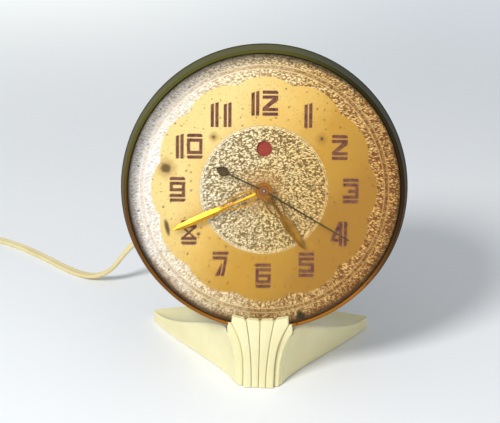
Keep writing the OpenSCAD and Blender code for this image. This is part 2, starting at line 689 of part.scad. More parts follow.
module second_hand() color(phenolic) turned_hand(second_angle, second_z) difference() {
    union() {
        translate([0, 0, sweep_lift]) linear_extrude(sweep_t) {
            polygon([[-0.55, 0], [-0.34, second_len], [0.34, second_len], [0.55, 0]]);
            rotate(leaf_bend) {
                polygon([[-0.35, leaf_near - 0.5], [-0.5, 0], [0.5, 0], [0.35, leaf_near - 0.5]]);
                for (side = [-1, 1]) polygon([for (i = [0:10]) let(t = i / 10)
                    [side * leaf_w * sin(180 * pow(t, 0.8)), leaf_near - t * 2 * leaf_half]]);
            }
        }
        translate([0, 0, -0.2]) cylinder(r = boss_r, h = 1.1);
    }
    translate([0, 0, -1]) cylinder(r = arbor_r, h = 3);
}

// Going train, from the sweep second arbor back to the minute cannon
centre_z = front_back_z - 1 - wheel_t;
third_z = centre_z - 2.2 - wheel_t;
second_wheel_z = third_z - 1.8 - wheel_t;
second_phase = 90 - second_angle;
third_phase = meshed(second_phase, second_pinion_teeth, third_teeth, 0);
third_pinion_phase = third_phase;
centre_phase = meshed(third_pinion_phase, third_pinion_teeth, centre_teeth, 180);
rotor_phase = meshed(second_phase, second_teeth, rotor_teeth, -90);
third_arbor_r = 0.8;
third_pivot_r = 0.5;
module second_arbor() color(steel) head() {
    disc(arbor_r, back_plate_z - plate_t + 0.2, second_z + 0.8);
    gear(train_m, second_pinion_teeth, second_phase, third_z - 0.4, wheel_t + 0.8);
}
module second_wheel() color(brass) head() difference() {
    union() {
        gear(drive_m, second_teeth, second_phase, second_wheel_z, wheel_t);
        disc(1.8, second_wheel_z - 0.6, second_wheel_z + wheel_t);
    }
    disc(arbor_r, second_wheel_z - 2, second_wheel_z + 3);
    crossings(2.6, 7, second_wheel_z, wheel_t);
}
module third_arbor() color(steel) head() at(third_pos) {
    disc(third_arbor_r, back_plate_z + 0.15, front_back_z - 0.15);
    disc(third_pivot_r, back_plate_z - plate_t + 0.2, front_plate_z - 0.2);
    gear(slow_m, third_pinion_teeth, third_pinion_phase, centre_z - 0.4, wheel_t + 0.8);
}
module third_wheel() color(brass) head() at(third_pos) difference() {
    gear(train_m, third_teeth, third_phase, third_z, wheel_t);
    disc(third_arbor_r, third_z - 1, third_z + 3);
    crossings(3, 10, third_z, wheel_t);
}
module centre_wheel() color(brass) head() difference() {
    gear(slow_m, centre_teeth, centre_phase, centre_z, wheel_t);
    disc(cannon_r + run_c, centre_z - 1, centre_z + 3);
    crossings(5.6, 10.2, centre_z, wheel_t);
}
clutch_t = 0.25;
clutch_r = 5;
collar_r = 2.4;
module clutch_spring() color(steel) head() difference() {
    disc(clutch_r, centre_z - run_c - clutch_t, centre_z - run_c);
    disc(cannon_r, centre_z - 2, centre_z + 1);
    for (a = [0:120:240]) rotate(a) translate([3.3, -0.4, centre_z - 2]) cube([3, 0.8, 3]);
}

// Motion work
cannon_phase = 90 - minute_angle;
minute_phase = meshed(cannon_phase, cannon_teeth, minute_teeth, set_dir);
hour_phase = meshed(minute_phase, minute_pinion_teeth, hour_teeth, set_dir + 180);
minute_wheel_z = front_plate_z + 1;
hour_wheel_z = minute_wheel_z + 2.2;
module cannon_pinion() color(steel) head() difference() {
    union() {
        disc(cannon_r, centre_z - 1.1, minute_z + 1.05);
        gear(set_m, cannon_teeth, cannon_phase, minute_wheel_z - 0.4, wheel_t + 0.6);
        disc(collar_r, centre_z - 1.1, centre_z - run_c - clutch_t);
        disc(collar_r, centre_z + wheel_t + run_c, front_back_z - 0.1);
    }
    disc(cannon_bore, centre_z - 3, minute_z + 3);
}
module hour_wheel() color(brass) head() difference() {
    union() {
        disc(hour_pipe_r, hour_wheel_z, hour_z + 0.7);
        gear(hour_m, hour_teeth, hour_phase, hour_wheel_z, wheel_t);
    }
    disc(hour_bore, hour_wheel_z - 2, hour_z + 2);
    crossings(3.2, 10, hour_wheel_z, wheel_t);
}
module minute_wheel() color(brass) head() at(set_pos) difference() {
    union() {
        gear(set_m, minute_teeth, minute_phase, minute_wheel_z, wheel_t);
        disc(2.3, minute_wheel_z, hour_wheel_z);
        gear(hour_m, minute_pinion_teeth, minute_phase, hour_wheel_z - 0.6, wheel_t + 1.2);
    }
    disc(set_shaft_r, minute_wheel_z - 3, hour_wheel_z + 3);
    crossings(3.6, 9, minute_wheel_z, wheel_t);
}
knob_gap = 1.2;
knob_z = -cover_depth - knob_gap;
module set_shaft() color(steel) head() at(set_pos)
    disc(set_shaft_r, knob_z - knob_len + 2, hour_wheel_z + wheel_t + 0.6);
knob_grooves = 20;
groove_r = 0.9;
module set_knob() color(phenolic) head() at(set_pos) difference() {
    union() {
        disc(knob_d / 2, knob_z - knob_len, knob_z - 1);
        disc(knob_d / 2 - 2.5, knob_z - 1.01, knob_z);
    }
    for (i = [0:knob_grooves - 1]) rotate(i * 360 / knob_grooves)
        translate([knob_d / 2 + 0.35, 0, knob_z - knob_len - 1])
            cylinder(r = groove_r, h = knob_len + 0.4, $fn = 24);
    disc(set_shaft_r, knob_z - knob_len + 2, knob_z + 1);
}

// Movement plates and what holds them
plate_low = -36;
plate_high = 30;
plate_cut = 5;
pillar_at = [for (x = [-1, 1], y = [plate_low + pillar_edge, plate_high - pillar_edge])
    [x * (plate_x - pillar_edge), y]];
foot_at = [[5 - plate_x, -6], [plate_x - 5, -10], [0, plate_low + 5]];
foot_r = 1.5;
screw_r = 1;
module plate_outline() polygon([[-plate_x + plate_cut, plate_low], [plate_x - plate_cut, plate_low],
    [plate_x, plate_low + plate_cut], [plate_x, plate_high - plate_cut], [plate_x - plate_cut, plate_high],
    [-plate_x + plate_cut, plate_high], [-plate_x, plate_high - plate_cut], [-plate_x, plate_low + plate_cut]]);
module hole(p, r, z) translate([p.x, p.y, z - 1]) cylinder(r = r, h = plate_t + 2, $fn = 48);
module front_plate() color(brass) head() difference() {
    translate([0, 0, front_back_z]) linear_extrude(plate_t) plate_outline();
    hole([0, 0], cannon_r + run_c, front_back_z);
    hole(third_pos, third_pivot_r + run_c, front_back_z);
    hole(set_pos, set_shaft_r + run_c, front_back_z);
    for (p = pillar_at) hole(p, screw_r + 0.1, front_back_z);
    for (p = foot_at) hole(p, foot_r + run_c, front_back_z);
}
module back_plate() color(brass) head() difference() {
    translate([0, 0, back_back_z]) linear_extrude(plate_t) plate_outline();
    hole([0, 0], arbor_r + run_c, back_back_z);
    hole(third_pos, third_pivot_r + run_c, back_back_z);
    hole(set_pos, set_shaft_r + run_c, back_back_z);
    hole(motor_pos, 3.4, back_back_z);
    for (p = concat(pillar_at, stud_at)) hole(p, screw_r + 0.1, back_back_z);
}
module plate_pillars() color(brass) head() for (p = pillar_at) at(p) difference() {
    disc(pillar_r, back_plate_z, front_back_z);
    disc(screw_r + run_c, back_plate_z - 1, front_back_z + 1);
}
module plate_screws() color(steel) head() for (p = pillar_at) translate([p.x, p.y, front_plate_z])
    screw(2.2, 1.2, screw_r, plate_t + train_gap / 2 - 0.5);
module dial_feet() color(brass) head() for (p = foot_at) at(p) {
    disc(foot_r, front_back_z - 2.2, -dial_t);
    disc(foot_r + 1, front_plate_z, front_plate_z + 0.8);
}
module dial_nuts() color(steel) head() for (p = foot_at) at(p) difference() {
    translate([0, 0, front_back_z - 1.6]) cylinder(r = 3, h = 1.6, $fn = 6);
    disc(foot_r, front_back_z - 3, front_back_z + 1);
}

// Motor: the sealed rotor unit stands between the poles of a horseshoe stack whose foot carries the winding
core_z = core_mid - core_t / 2;
gap_c = 0.15;
leg_rise = 13;
pole_half = 7;
rotor_gap = 1.25;
bar_top = rotor_pos.y - rotor_r - rotor_gap - bobbin_c - flange_grow;
stud_at = [for (s = [-1, 1]) [s * (leg_in + leg_w / 2 + 0.6), rotor_pos.y + 6]];
stud_r = screw_r;
module rotor_unit() color([0.72, 0.60, 0.38]) head() difference() {
    union() {
        at(rotor_pos) {
            disc(rotor_r, back_back_z - 0.6 - rotor_len, back_back_z - 0.6);
            disc(rotor_r * 0.62, back_back_z - 1.6 - rotor_len, back_back_z - rotor_len);
        }
        at(motor_pos) disc(5, back_back_z - 1, back_back_z);
    }
    at(motor_pos) disc(0.8 + run_c, back_back_z - 5, back_back_z + 1);
}
module rotor_pinion() color(steel) head() at(motor_pos) {
    disc(0.8, back_back_z - 4.8, second_wheel_z + wheel_t + 0.2);
    gear(drive_m, rotor_teeth, rotor_phase, second_wheel_z - 0.4, wheel_t + 0.8);
}
module motor_studs() color(steel) head() for (p = stud_at) at(p) {
    disc(stud_r, core_z - 3, back_plate_z);
    tube_ring(2.2, stud_r, core_z + core_t, back_back_z);
    translate([0, 0, core_z - 1.8]) cylinder(r = 2.4, h = 1.8, $fn = 6);
}
module field_core() color([0.34, 0.34, 0.36]) head() difference() {
    translate([-leg_out, bar_top - bar_h, core_z])
        cube([2 * leg_out, rotor_pos.y + leg_rise - bar_top + bar_h, core_t]);
    translate([-leg_in, bar_top, core_z - 1]) cube([2 * leg_in, rotor_pos.y - bar_top, core_t + 2]);
    at(rotor_pos) disc(rotor_r + gap_c, core_z - 1, core_z + core_t + 1);
    for (p = stud_at) at(p) disc(stud_r + 0.1, core_z - 1, core_z + core_t + 1);
    translate([-pole_half, rotor_pos.y, core_z - 1]) cube([2 * pole_half, far, core_t + 2]);
}
module bar_frame() translate([0, bar_top - bar_h / 2, core_mid]) rotate([90, 0, 90]) children();
module bobbin_block(grow, length) linear_extrude(length, center = true) square(
    2 * [bobbin_y + grow, bobbin_z + grow], center = true);
module coil_bobbin() color(phenolic) head() bar_frame() difference() {
    union() {
        bobbin_block(bobbin_t, winding_len);
        for (s = [-1, 1]) translate([0, 0, s * (winding_len / 2 + bobbin_t / 2)])
            bobbin_block(flange_grow, bobbin_t);
    }
    bobbin_block(0, winding_len + 10);
}
module field_winding() color([0.60, 0.28, 0.12]) head() bar_frame() difference() {
    linear_extrude(winding_len, center = true) {
        square(2 * [bobbin_y + bobbin_t + winding_t, bobbin_z + bobbin_t], center = true);
        square(2 * [bobbin_y + bobbin_t, bobbin_z + bobbin_t + winding_t], center = true);
        for (sy = [-1, 1], sz = [-1, 1]) translate([sy * (bobbin_y + bobbin_t), sz * (bobbin_z + bobbin_t)])
            circle(winding_t, $fn = 48);
    }
    bobbin_block(bobbin_t, winding_len + 10);
}

// Rear cover and its screws
cover_inner_z = -cover_depth + cover_t;
cover_front = -dial_t - 0.05;
flange_z = -skirt_depth + bead_r + 0.1;
vent_low = 20;
exit_edge = 8.7;
exit_angle = 221;
exit_pos = (back_r - exit_edge) * [cos(exit_angle), sin(exit_angle)];
sleeve_r = 4.4;
module rear_cover() color(phenolic) head() difference() {
    union() {
        cover_shape(0, cover_front);
        disc(skirt_in(flange_z + flange_t) - fit_c, flange_z, flange_z + flange_t);
    }
    cover_shape(cover_t, cover_front + 1);
    at(set_pos) disc(set_shaft_r + 0.6, -cover_depth - 1, cover_inner_z + 1);
    at(exit_pos) disc(sleeve_r, -cover_depth - 1, cover_inner_z + 1);
    for (p = pillar_at) at(p) disc(screw_r + 0.3, -cover_depth - 1, cover_inner_z + 1);
    for (i = [0:vent_count - 1]) let(x = (i - (vent_count - 1) / 2) * vent_w * 2.6)
        translate([x - vent_w / 2, vent_low, -cover_depth - 1]) {
            cube([vent_w, vent_len, cover_t + 2]);
            for (y = [0, vent_len]) translate([vent_w / 2, y, 0])
                cylinder(d = vent_w, h = cover_t + 2, $fn = 48);
        }
    base_screw_at() rotate([90, 0, 0]) translate([0, 0, cover_r - 6]) cylinder(r = 1.6, h = 12, $fn = 48);
}
module cover_posts() color(steel) head() for (p = pillar_at) at(p) difference() {
    union() {
        disc(pillar_r, cover_inner_z, back_back_z);
        disc(screw_r, back_back_z - eps, back_plate_z + train_gap / 2 - 0.8);
    }
    disc(screw_r + run_c, cover_inner_z - 1, cover_inner_z + 9);
}
module cover_screws() color(steel) head() for (p = pillar_at) translate([p.x, p.y, -cover_depth])
    rotate([180, 0, 0]) screw(3, 1.6, screw_r, cover_t + 8);

// Cord: a flat two core cord that leaves through a tapered sleeve, crosses the table and ends in a coil
module cord_sleeve() color(phenolic) head() at(exit_pos) {
    disc(sleeve_r - run_c, -cover_depth - 1, cover_inner_z + 0.1);
    disc(sleeve_r + 1.1, cover_inner_z, cover_inner_z + 1.6);
    translate([0, 0, -cover_depth - 2]) cylinder(r = sleeve_r + 1.4, h = 2);
    translate([0, 0, -cover_depth - sleeve_len])
        cylinder(r1 = 3.3, r2 = sleeve_r + 0.4, h = sleeve_len - 2 + eps);
}
// Rings of a section along points; up is the direction that the section's height keeps to
function sides(pts, up) = [for (i = [0:len(pts) - 1]) let(t = unit(pts[min(i + 1, len(pts) - 1)]
    - pts[max(i - 1, 0)]), s = unit(cross(t, up))) [s, cross(s, t)]];
module swept(pts, section, up) let(f = sides(pts, up))
    skin([for (i = [0:len(pts) - 1]) [for (q = section) pts[i] + q.x * f[i][0] + q.y * f[i][1]]]);
function round_section(r, n) = [for (k = [0:n - 1]) r * [cos(k * 360 / n), sin(k * 360 / n)]];
function path_length(pts) = len(pts) < 2 ? 0 : [for (i = 0, s = 0; i < len(pts);
    s = s + (i < len(pts) - 1 ? norm(pts[i + 1] - pts[i]) : 0), i = i + 1) s][len(pts) - 1];
// Points halfway between the route's own, on a smooth curve through them
function between(p, i) = (-p[max(i - 1, 0)] + 9 * p[i] + 9 * p[i + 1] - p[min(i + 2, len(p) - 1)]) / 16;
function eased(p) = [for (i = [0:len(p) - 1])
    each (i == 0 || i >= len(p) - 2 ? [p[i]] : [p[i], between(p, i)])];
wire_r = 0.9;
wire_end = [-winding_len / 2 - bobbin_t, bar_top - bar_h - bobbin_t - 2.6, core_mid];
module lead_wires() color([0.16, 0.14, 0.12]) head() for (s = [-1, 1]) {
    route = [[exit_pos.x + s * 1.4, exit_pos.y, cover_inner_z + 1.6],
        [exit_pos.x + s * 1.4, exit_pos.y, cover_inner_z + 3.4],
        [exit_pos.x + 2 + s * 1.4, exit_pos.y - 4.6, cover_inner_z + 6], [-30 + s, -44 + s, core_mid - 3],
        for (x = [-25, wire_end.x - 3, wire_end.x]) [x, wire_end.y + s * 1.4, core_mid + s * 1.2]];
    swept(route, round_section(wire_r, 8), [0, 1, 0.3]);
}
exit_point = head_point([exit_pos.x, exit_pos.y, -cover_depth - sleeve_len]);
exit_dir = [0, cos(tilt), -sin(tilt)];
half_t = cord_t / 2;
flat_section = [for (q = [[1, 0.4], [0.72, 1], [-0.72, 1], [-1, 0.4],
    [-1, -0.4], [-0.72, -1], [0.72, -1], [1, -0.4]]) [q.x * cord_w / 2, q.y * half_t]];
coil_centre = [-224, 128];
coil_lift = 0.5;
coil_turns = 8.25;
coil_step = cord_w + coil_gap;
coil_rise = cord_t + coil_gap;
layer_turns = 2;
ring_count = 24;
route = [exit_point, exit_point + 10 * exit_dir, [-39.5, 75.2, 47.2], [-44.4, 83.9, 44.2],
    [-52.6, 90.2, 41.3], [-63, 93, 37.8], [-73.4, 93, 33.4], [-82, 92, 26.8], [-88, 91.4, 19.8],
    [-93, 91.6, 12.8], [-98.5, 93, 7.4], [-106, 96, 3.2], [-114.5, 100.4, half_t + 0.2],
    [-123, 106, half_t + 0.05], [-133.6, 115.4, half_t], [-146, 127, half_t], [-160, 139, half_t],
    [-175, 149, half_t], [-191, 157, half_t], [-204, 161.8, half_t + 0.3],
    [coil_centre.x + 2 * cord_w, coil_centre.y + coil_outer, coil_lift + half_t],
    [coil_centre.x + cord_w, coil_centre.y + coil_outer, coil_lift + half_t]];
module cord_lead() color(ivory) swept(eased(route), flat_section, [0, 0, 1]);
// The coil: layers spiral in and out by turns, and climb in the half turn where they reverse
function ease(t) = t * t * (3 - 2 * t);
function coil_radius(u) = let(layer = min(floor(u / layer_turns), 3), s = u - layer * layer_turns)
    layer % 2 == 0 ? coil_outer - coil_step * s : coil_outer - coil_step * (layer_turns - s);
function coil_level(u) = [for (k = [1:3]) ease(min(1, max(0, (u - k * layer_turns + 0.25) / 0.5)))] * [1, 1, 1];
function coil_point(u) = [coil_centre.x + coil_radius(u) * cos(90 + 360 * u),
    coil_centre.y + coil_radius(u) * sin(90 + 360 * u), coil_lift + half_t + coil_rise * coil_level(u)];
coil_rings = [for (i = [0:round(coil_turns * ring_count)]) coil_point(i / ring_count)];
coil_end = coil_rings[len(coil_rings) - 1];
coil_path = concat([route[len(route) - 1]], coil_rings, [coil_end + [0, -cord_w, 0]]);
hex_section = [for (q = [[1, 0], [0.6, 1], [-0.6, 1], [-1, 0], [-0.6, -1], [0.6, -1]])
    [q.x * cord_w / 2, q.y * half_t]];
module cord_coil() color(ivory) swept(coil_path, hex_section, [0, 0, 1]);
// Gap between two turns at one angle, from the flats and the slopes of the six sided section
slope = unit([half_t, cord_w * 0.2]);
function turn_gap(a, b) = let(d = b - a, dr = norm([d.x, d.y]), dz = abs(d.z))
    max(dz - cord_t, dr - cord_w, dr * slope.x + dz * slope.y - cord_w * slope.x);
coil_gaps = [for (i = [0:len(coil_rings) - ring_count - 1], k = [1:7]) if (i + k * ring_count < len(coil_rings))
    turn_gap(coil_rings[i], coil_rings[i + k * ring_count])];
tail_drop = 36;
plug_level = plug_h / 2;
tail = [coil_path[len(coil_path) - 1], coil_end + [0, -cord_w - tail_drop / 4, 0],
    [coil_end.x, coil_end.y - cord_w - tail_drop / 2, (coil_end.z + plug_level) / 2],
    [coil_end.x, coil_end.y - cord_w - tail_drop * 3 / 4, plug_level],
    [coil_end.x, coil_end.y - cord_w - tail_drop, plug_level]];
module cord_tail() color(ivory) swept(eased(tail), flat_section, [0, 0, 1]);
echo(least_gap = min(coil_gaps), cord_length = path_length(eased(route)) + path_length(coil_path)
    + path_length(eased(tail)), lead = path_length(eased(route)), coil = path_length(coil_path));
tie_turn = 2 / 3;
tie_t = 0.4;
tie_w = 4;
tie_c = 0.3;
tie_in = coil_radius(1 + tie_turn) - cord_w / 2 - tie_c;
tie_out = coil_radius(3 + tie_turn) + cord_w / 2 + tie_c;
tie_top = coil_lift + cord_t + 3 * coil_rise + tie_c;
module cord_tie() color([0.75, 0.68, 0.55]) translate([coil_centre.x, coil_centre.y, 0])
    rotate(90 + 360 * tie_turn) difference() {
        translate([tie_in - tie_t, -tie_w / 2, 0]) cube([tie_out - tie_in + 2 * tie_t, tie_w, tie_top + tie_t]);
        translate([tie_in, -tie_w, tie_t]) cube([tie_out - tie_in, 2 * tie_w, tie_top - tie_t]);
    }
plug_at = tail[len(tail) - 1];
blade_gap = 12.7;
blade_t = 1.5;
blade_w = 6.3;
module plug_body() color(phenolic) translate([plug_at.x, plug_at.y, 0]) hull() {
    for (s = [-1, 1]) translate([s * (plug_w / 2 - 3), -plug_len + 3, 0]) {
        translate([0, 0, 1]) cylinder(r = 3, h = plug_h - 2, $fn = 24);
        cylinder(r = 2, h = plug_h, $fn = 24);
    }
    for (s = [-1, 1]) translate([s * (plug_w / 2 - 4), -plug_len * 0.45, 0]) {
        translate([0, 0, 1]) cylinder(r = 4, h = plug_h - 2, $fn = 24);
        cylinder(r = 3, h = plug_h, $fn = 24);
    }
    translate([0, 0, plug_h / 2]) rotate([90, 0, 0]) cylinder(r = 4.2, h = 2, $fn = 24);
}
module plug_blades() color(brass) for (s = [-1, 1]) translate([plug_at.x + s * blade_gap / 2 - blade_t / 2,
    plug_at.y - plug_len - blade_len, (plug_h - blade_w) / 2]) cube([blade_t, blade_len, blade_w]);

base();
base_felt();
base_screws();
case_strap();
bezel();
crystal();
spacer_ring();
dial();
chapter_ring();
numerals();
signal_flag();
flag_stud();
hour_hand();
minute_hand();
second_hand();
second_arbor();
second_wheel();
third_arbor();
third_wheel();
centre_wheel();
clutch_spring();
cannon_pinion();
hour_wheel();
minute_wheel();
set_shaft();
set_knob();
front_plate();
back_plate();
plate_pillars();
plate_screws();
dial_feet();
dial_nuts();
rotor_unit();
rotor_pinion();
motor_studs();
field_core();
coil_bobbin();
field_winding();
cover_posts();
rear_cover();
cover_screws();
cord_sleeve();
lead_wires();
cord_lead();
cord_coil();
cord_tie();
cord_tail();
plug_body();
plug_blades();
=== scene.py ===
"""Looks of a tilted electric shelf clock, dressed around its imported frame.

Every size is in metres in the frame's own axes: x runs to the viewer's right, y away
from the viewer and z up from the table. Sizes that the source gives in millimetres are
written in millimetres here and multiplied by MM where they become points.
"""

import json
import logging
import math
from dataclasses import dataclass
from enum import Enum
from typing import Any, Sequence

import bmesh
import bpy
import numpy as np
from mathutils import Matrix, Vector


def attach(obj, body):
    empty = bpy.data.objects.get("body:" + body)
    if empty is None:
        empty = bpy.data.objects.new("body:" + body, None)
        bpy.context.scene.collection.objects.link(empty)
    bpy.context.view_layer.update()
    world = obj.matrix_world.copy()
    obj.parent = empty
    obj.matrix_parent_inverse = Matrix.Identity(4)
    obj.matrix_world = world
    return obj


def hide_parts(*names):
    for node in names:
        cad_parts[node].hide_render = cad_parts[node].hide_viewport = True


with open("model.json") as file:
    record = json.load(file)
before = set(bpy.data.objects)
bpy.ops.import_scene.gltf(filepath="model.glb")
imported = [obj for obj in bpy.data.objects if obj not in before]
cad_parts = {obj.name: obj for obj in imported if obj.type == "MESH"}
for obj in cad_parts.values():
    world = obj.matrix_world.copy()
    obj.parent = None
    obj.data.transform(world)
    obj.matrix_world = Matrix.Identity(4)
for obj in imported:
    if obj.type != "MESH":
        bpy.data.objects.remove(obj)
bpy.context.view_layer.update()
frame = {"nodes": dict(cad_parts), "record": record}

LOG = logging.getLogger("shelf_clock")
MM = 0.001

# Sizes in millimetres that several pieces share; FAR lies past every piece, for cutters
CENTRE_R = 34.25
RAISED_RINGS = (33.25, 34.15, 64.3, 66.6)
BEZEL_R = 78.0
BEAD_R = 0.9
SKIRT = 12.0
CORD_EXIT = (-37.962, -33.0)
FAR = 200.0
COIL_CENTRE = (-224.0, 128.0)

# Heights in metres of the marks that a bump shows
FINE_MARKS = 0.00002
MOULDED_SKIN = 0.00005
FELT_NAP = 0.0003

Colour = tuple[float, float, float, float]
Triple = tuple[float, float, float]
Rows = Sequence[Sequence[float]]
Pairs = list[tuple[float, float]]
Stops = Sequence[tuple[float, str]]
Thing = bpy.types.Object
Material = bpy.types.Material
Node = bpy.types.Node
Socket = bpy.types.NodeSocket
Tree = bpy.types.NodeTree


def tone(code: str) -> Colour:
    """Turns a screen colour into the linear colour that a shader takes.

    Args:
        code: Six hexadecimal digits, red first.

    Returns:
        Linear red, green and blue with an alpha of one.
    """
    values = [int(code[i : i + 2], 16) / 255 for i in (0, 2, 4)]
    linear = [v / 12.92 if v <= 0.04045 else ((v + 0.055) / 1.055) ** 2.4 for v in values]
    return (linear[0], linear[1], linear[2], 1.0)


# Meshes


@dataclass
class Form:
    """Points and faces of a mesh in the making, in metres."""

    points: np.ndarray
    faces: list[tuple[int, ...]]


def loft(rings: Sequence[Rows], closed: bool = False) -> Form:
    """A skin over rings of equally many points.

    Args:
        rings: The rings, each a closed loop of points in millimetres.
        closed: Whether the last ring joins the first; if not, both ends are capped.

    Returns:
        A closed form, in metres.
    """
    grid = np.array(rings, float)
    count, around = grid.shape[:2]
    faces: list[tuple[int, ...]] = []
    for i in range(count if closed else count - 1):
        low, high = i * around, (i + 1) % count * around
        turned_on = [(k, (k + 1) % around) for k in range(around)]
        faces += [(low + k, low + right, high + right, high + k) for k, right in turned_on]
    if not closed:
        faces.append(tuple(range(around - 1, -1, -1)))
        faces.append(tuple((count - 1) * around + k for k in range(around)))
    return Form(grid.reshape(-1, 3) * MM, faces)


def lathe(profile: Rows, segments: int = 256, at: Sequence[float] = (0.0, 0.0)) -> Form:
    """A turned form whose axis is z.

    Args:
        profile: A closed outline of radius and height, in millimetres.
        segments: Steps round the axis.
        at: Place of the axis, in millimetres.

    Returns:
        The form in the same axes, in metres.
    """
    r, z = np.array(profile, float).T
    steps = np.arange(segments) * 2 * math.pi / segments
    rings = [np.c_[at[0] + r * math.cos(a), at[1] + r * math.sin(a), z] for a in steps]
    return loft(rings, closed=True)


def block(low: Sequence[float], high: Sequence[float]) -> Form:
    """A box between two corners in millimetres, used as a cutter.

    Args:
        low: The corner at its left, front and bottom.
        high: The opposite corner.

    Returns:
        The box, in metres.
    """
    (left, front, bottom), (right, back, top) = low, high
    plan = [(left, front), (right, front), (right, back), (left, back)]
    return loft([[(x, y, z) for x, y in plan] for z in (bottom, top)])


def prism(outline: Rows, low: float, high: float) -> Form:
    """An outline in millimetres raised from one height to another."""
    return loft([[(x, y, z) for x, y in outline] for z in (low, high)])


def turned(rows: Rows, segments: int = 128, at: Sequence[float] = (0.0, 0.0)) -> Form:
    """A solid of circles stacked along z.

    Args:
        rows: Radius and height of each circle, in millimetres.
        segments: Steps round the axis.
        at: Place of the axis, in millimetres.

    Returns:
        The capped form, in metres.
    """
    turn = np.arange(segments) * 2 * math.pi / segments
    x, y = np.cos(turn), np.sin(turn)
    return loft([np.c_[at[0] + r * x, at[1] + r * y, np.full(segments, z)] for r, z in rows])


def rounded(half_w: float, half_h: float, corner: float, steps: int = 6) -> np.ndarray:
    """The outline of a rectangle with rounded corners, about its middle.

    Args:
        half_w: Half of its width.
        half_h: Half of its height.
        corner: Radius of its corners.
        steps: Points on each corner.

    Returns:
        The points, counter-clockwise.
    """
    rows = []
    for k, (side, rise) in enumerate(((1, 1), (-1, 1), (-1, -1), (1, -1))):
        x, y = side * (half_w - corner), rise * (half_h - corner)
        turns = np.radians(np.linspace(k * 90, k * 90 + 90, steps))
        rows += [(x + corner * math.cos(a), y + corner * math.sin(a)) for a in turns]
    return np.array(rows)


def bezier(points: Rows, t: float) -> np.ndarray:
    """A point of the cubic curve with four guiding points, at a share of its way."""
    a, b, c, d = np.array(points, float)
    return (1 - t) ** 3 * a + 3 * t * (1 - t) ** 2 * b + 3 * t * t * (1 - t) * c + t**3 * d


def eased(points: np.ndarray, rounds: int = 2) -> np.ndarray:
    """Points on a smooth curve through the given ones.

    Args:
        points: The route's own points.
        rounds: How often midpoints are put in.

    Returns:
        The finer row of points.
    """
    for _ in range(rounds):
        made = [points[0]]
        for i in range(1, len(points)):
            before, near = points[max(i - 2, 0)], points[i - 1]
            here, after = points[i], points[min(i + 1, len(points) - 1)]
            made += [(-before + 9 * near + 9 * here - after) / 16, here]
        points = np.array(made)
    return points


def sweep(points: np.ndarray, section: Rows, over: Sequence[float]) -> Form:
    """A section carried along a row of points.

    Args:
        points: The centreline, in millimetres.
        section: The closed outline: across and over, in millimetres.
        over: The direction that the section's height keeps to.

    Returns:
        The capped form, in metres.
    """
    first, last = points[1:2] - points[0:1], points[-1:] - points[-2:-1]
    ahead = np.vstack([first, points[2:] - points[:-2], last])
    ahead /= np.linalg.norm(ahead, axis=1)[:, None]
    side = np.cross(ahead, over)
    side /= np.linalg.norm(side, axis=1)[:, None]
    rise = np.cross(side, ahead)
    places = zip(points, side, rise)
    return loft([[p + x * s + y * r for x, y in section] for p, s, r in places])


@dataclass(frozen=True)
class Head:
    """The tilted head's own axes: x right, y up along the dial, z out of the dial.

    The origin is the middle of the dial's face.
    """

    tilt: float = 16.0
    height: float = 103.155

    def place(self, form: Form) -> Form:
        """Moves a form from the head's axes, in metres, to the frame's axes.

        Args:
            form: A form in the head's axes.

        Returns:
            The form in the frame's axes.
        """
        sine, cosine = math.sin(math.radians(self.tilt)), math.cos(math.radians(self.tilt))
        x, y, z = form.points.T
        placed = np.c_[x, y * sine - z * cosine, self.height * MM + y * cosine + z * sine]
        return Form(placed, form.faces)

    def point(self, x: float, y: float, z: float) -> np.ndarray:
        """One point of the head, from and to millimetres."""
        return self.place(Form(np.array([[x, y, z]]) * MM, [])).points[0] / MM


HEAD = Head()


def raw_object(name: str, form: Form) -> Thing:
    """An object with a clean mesh: doubled points merged and faces turned outward.

    Args:
        name: The object's name.
        form: Its points and faces.

    Returns:
        The object, linked to the scene.
    """
    mesh = bpy.data.meshes.new(name)
    mesh.from_pydata(form.points.tolist(), [], form.faces)
    work = bmesh.new()
    work.from_mesh(mesh)
    bmesh.ops.remove_doubles(work, verts=work.verts, dist=1e-7)
    bmesh.ops.dissolve_degenerate(work, edges=work.edges, dist=1e-8)
    bmesh.ops.recalc_face_normals(work, faces=work.faces)
    work.to_mesh(mesh)
    work.free()
    made = bpy.data.objects.new(name, mesh)
    bpy.context.scene.collection.objects.link(made)
    return made


def settle(thing: Thing) -> Thing:
    """Bakes an object's modifiers into its mesh and returns the object.

    Args:
        thing: The object.

    Returns:
        The object.
    """
    graph = bpy.context.evaluated_depsgraph_get()
    mesh = bpy.data.meshes.new_from_object(thing.evaluated_get(graph))
    thing.modifiers.clear()
    thing.data = mesh
    return thing


class Cut(Enum):
    """What a carving step does with its tool."""

    AWAY = "DIFFERENCE"
    KEEP = "INTERSECT"
    JOIN = "UNION"


def carve(thing: Thing, way: Cut, *tools: Form | Thing) -> Thing:
    """Cuts forms out of an object, keeps what they share with it, or joins them to it.

    Args:
        thing: The object that is worked on.
        way: What each step does.
        tools: Closed forms or objects, used up one after another.

    Returns:
        The same object with its new mesh.
    """
    for tool in tools:
        if isinstance(tool, Form):
            tool = raw_object("tool", tool)
        step = thing.modifiers.new("step", "BOOLEAN")
        step.operation, step.solver, step.object = way.value, "MANIFOLD", tool
        settle(thing)
        bpy.data.objects.remove(tool)
    return thing


def shade(thing: Thing, angle: float = 32.0) -> None:
    """Shades an object smooth, with a crease at every edge sharper than the angle.

    Args:
        thing: The object.
        angle: The crease angle in degrees.
    """
    for face in thing.data.polygons:
        face.use_smooth = True
    thing.data.set_sharp_from_angle(angle=math.radians(angle))


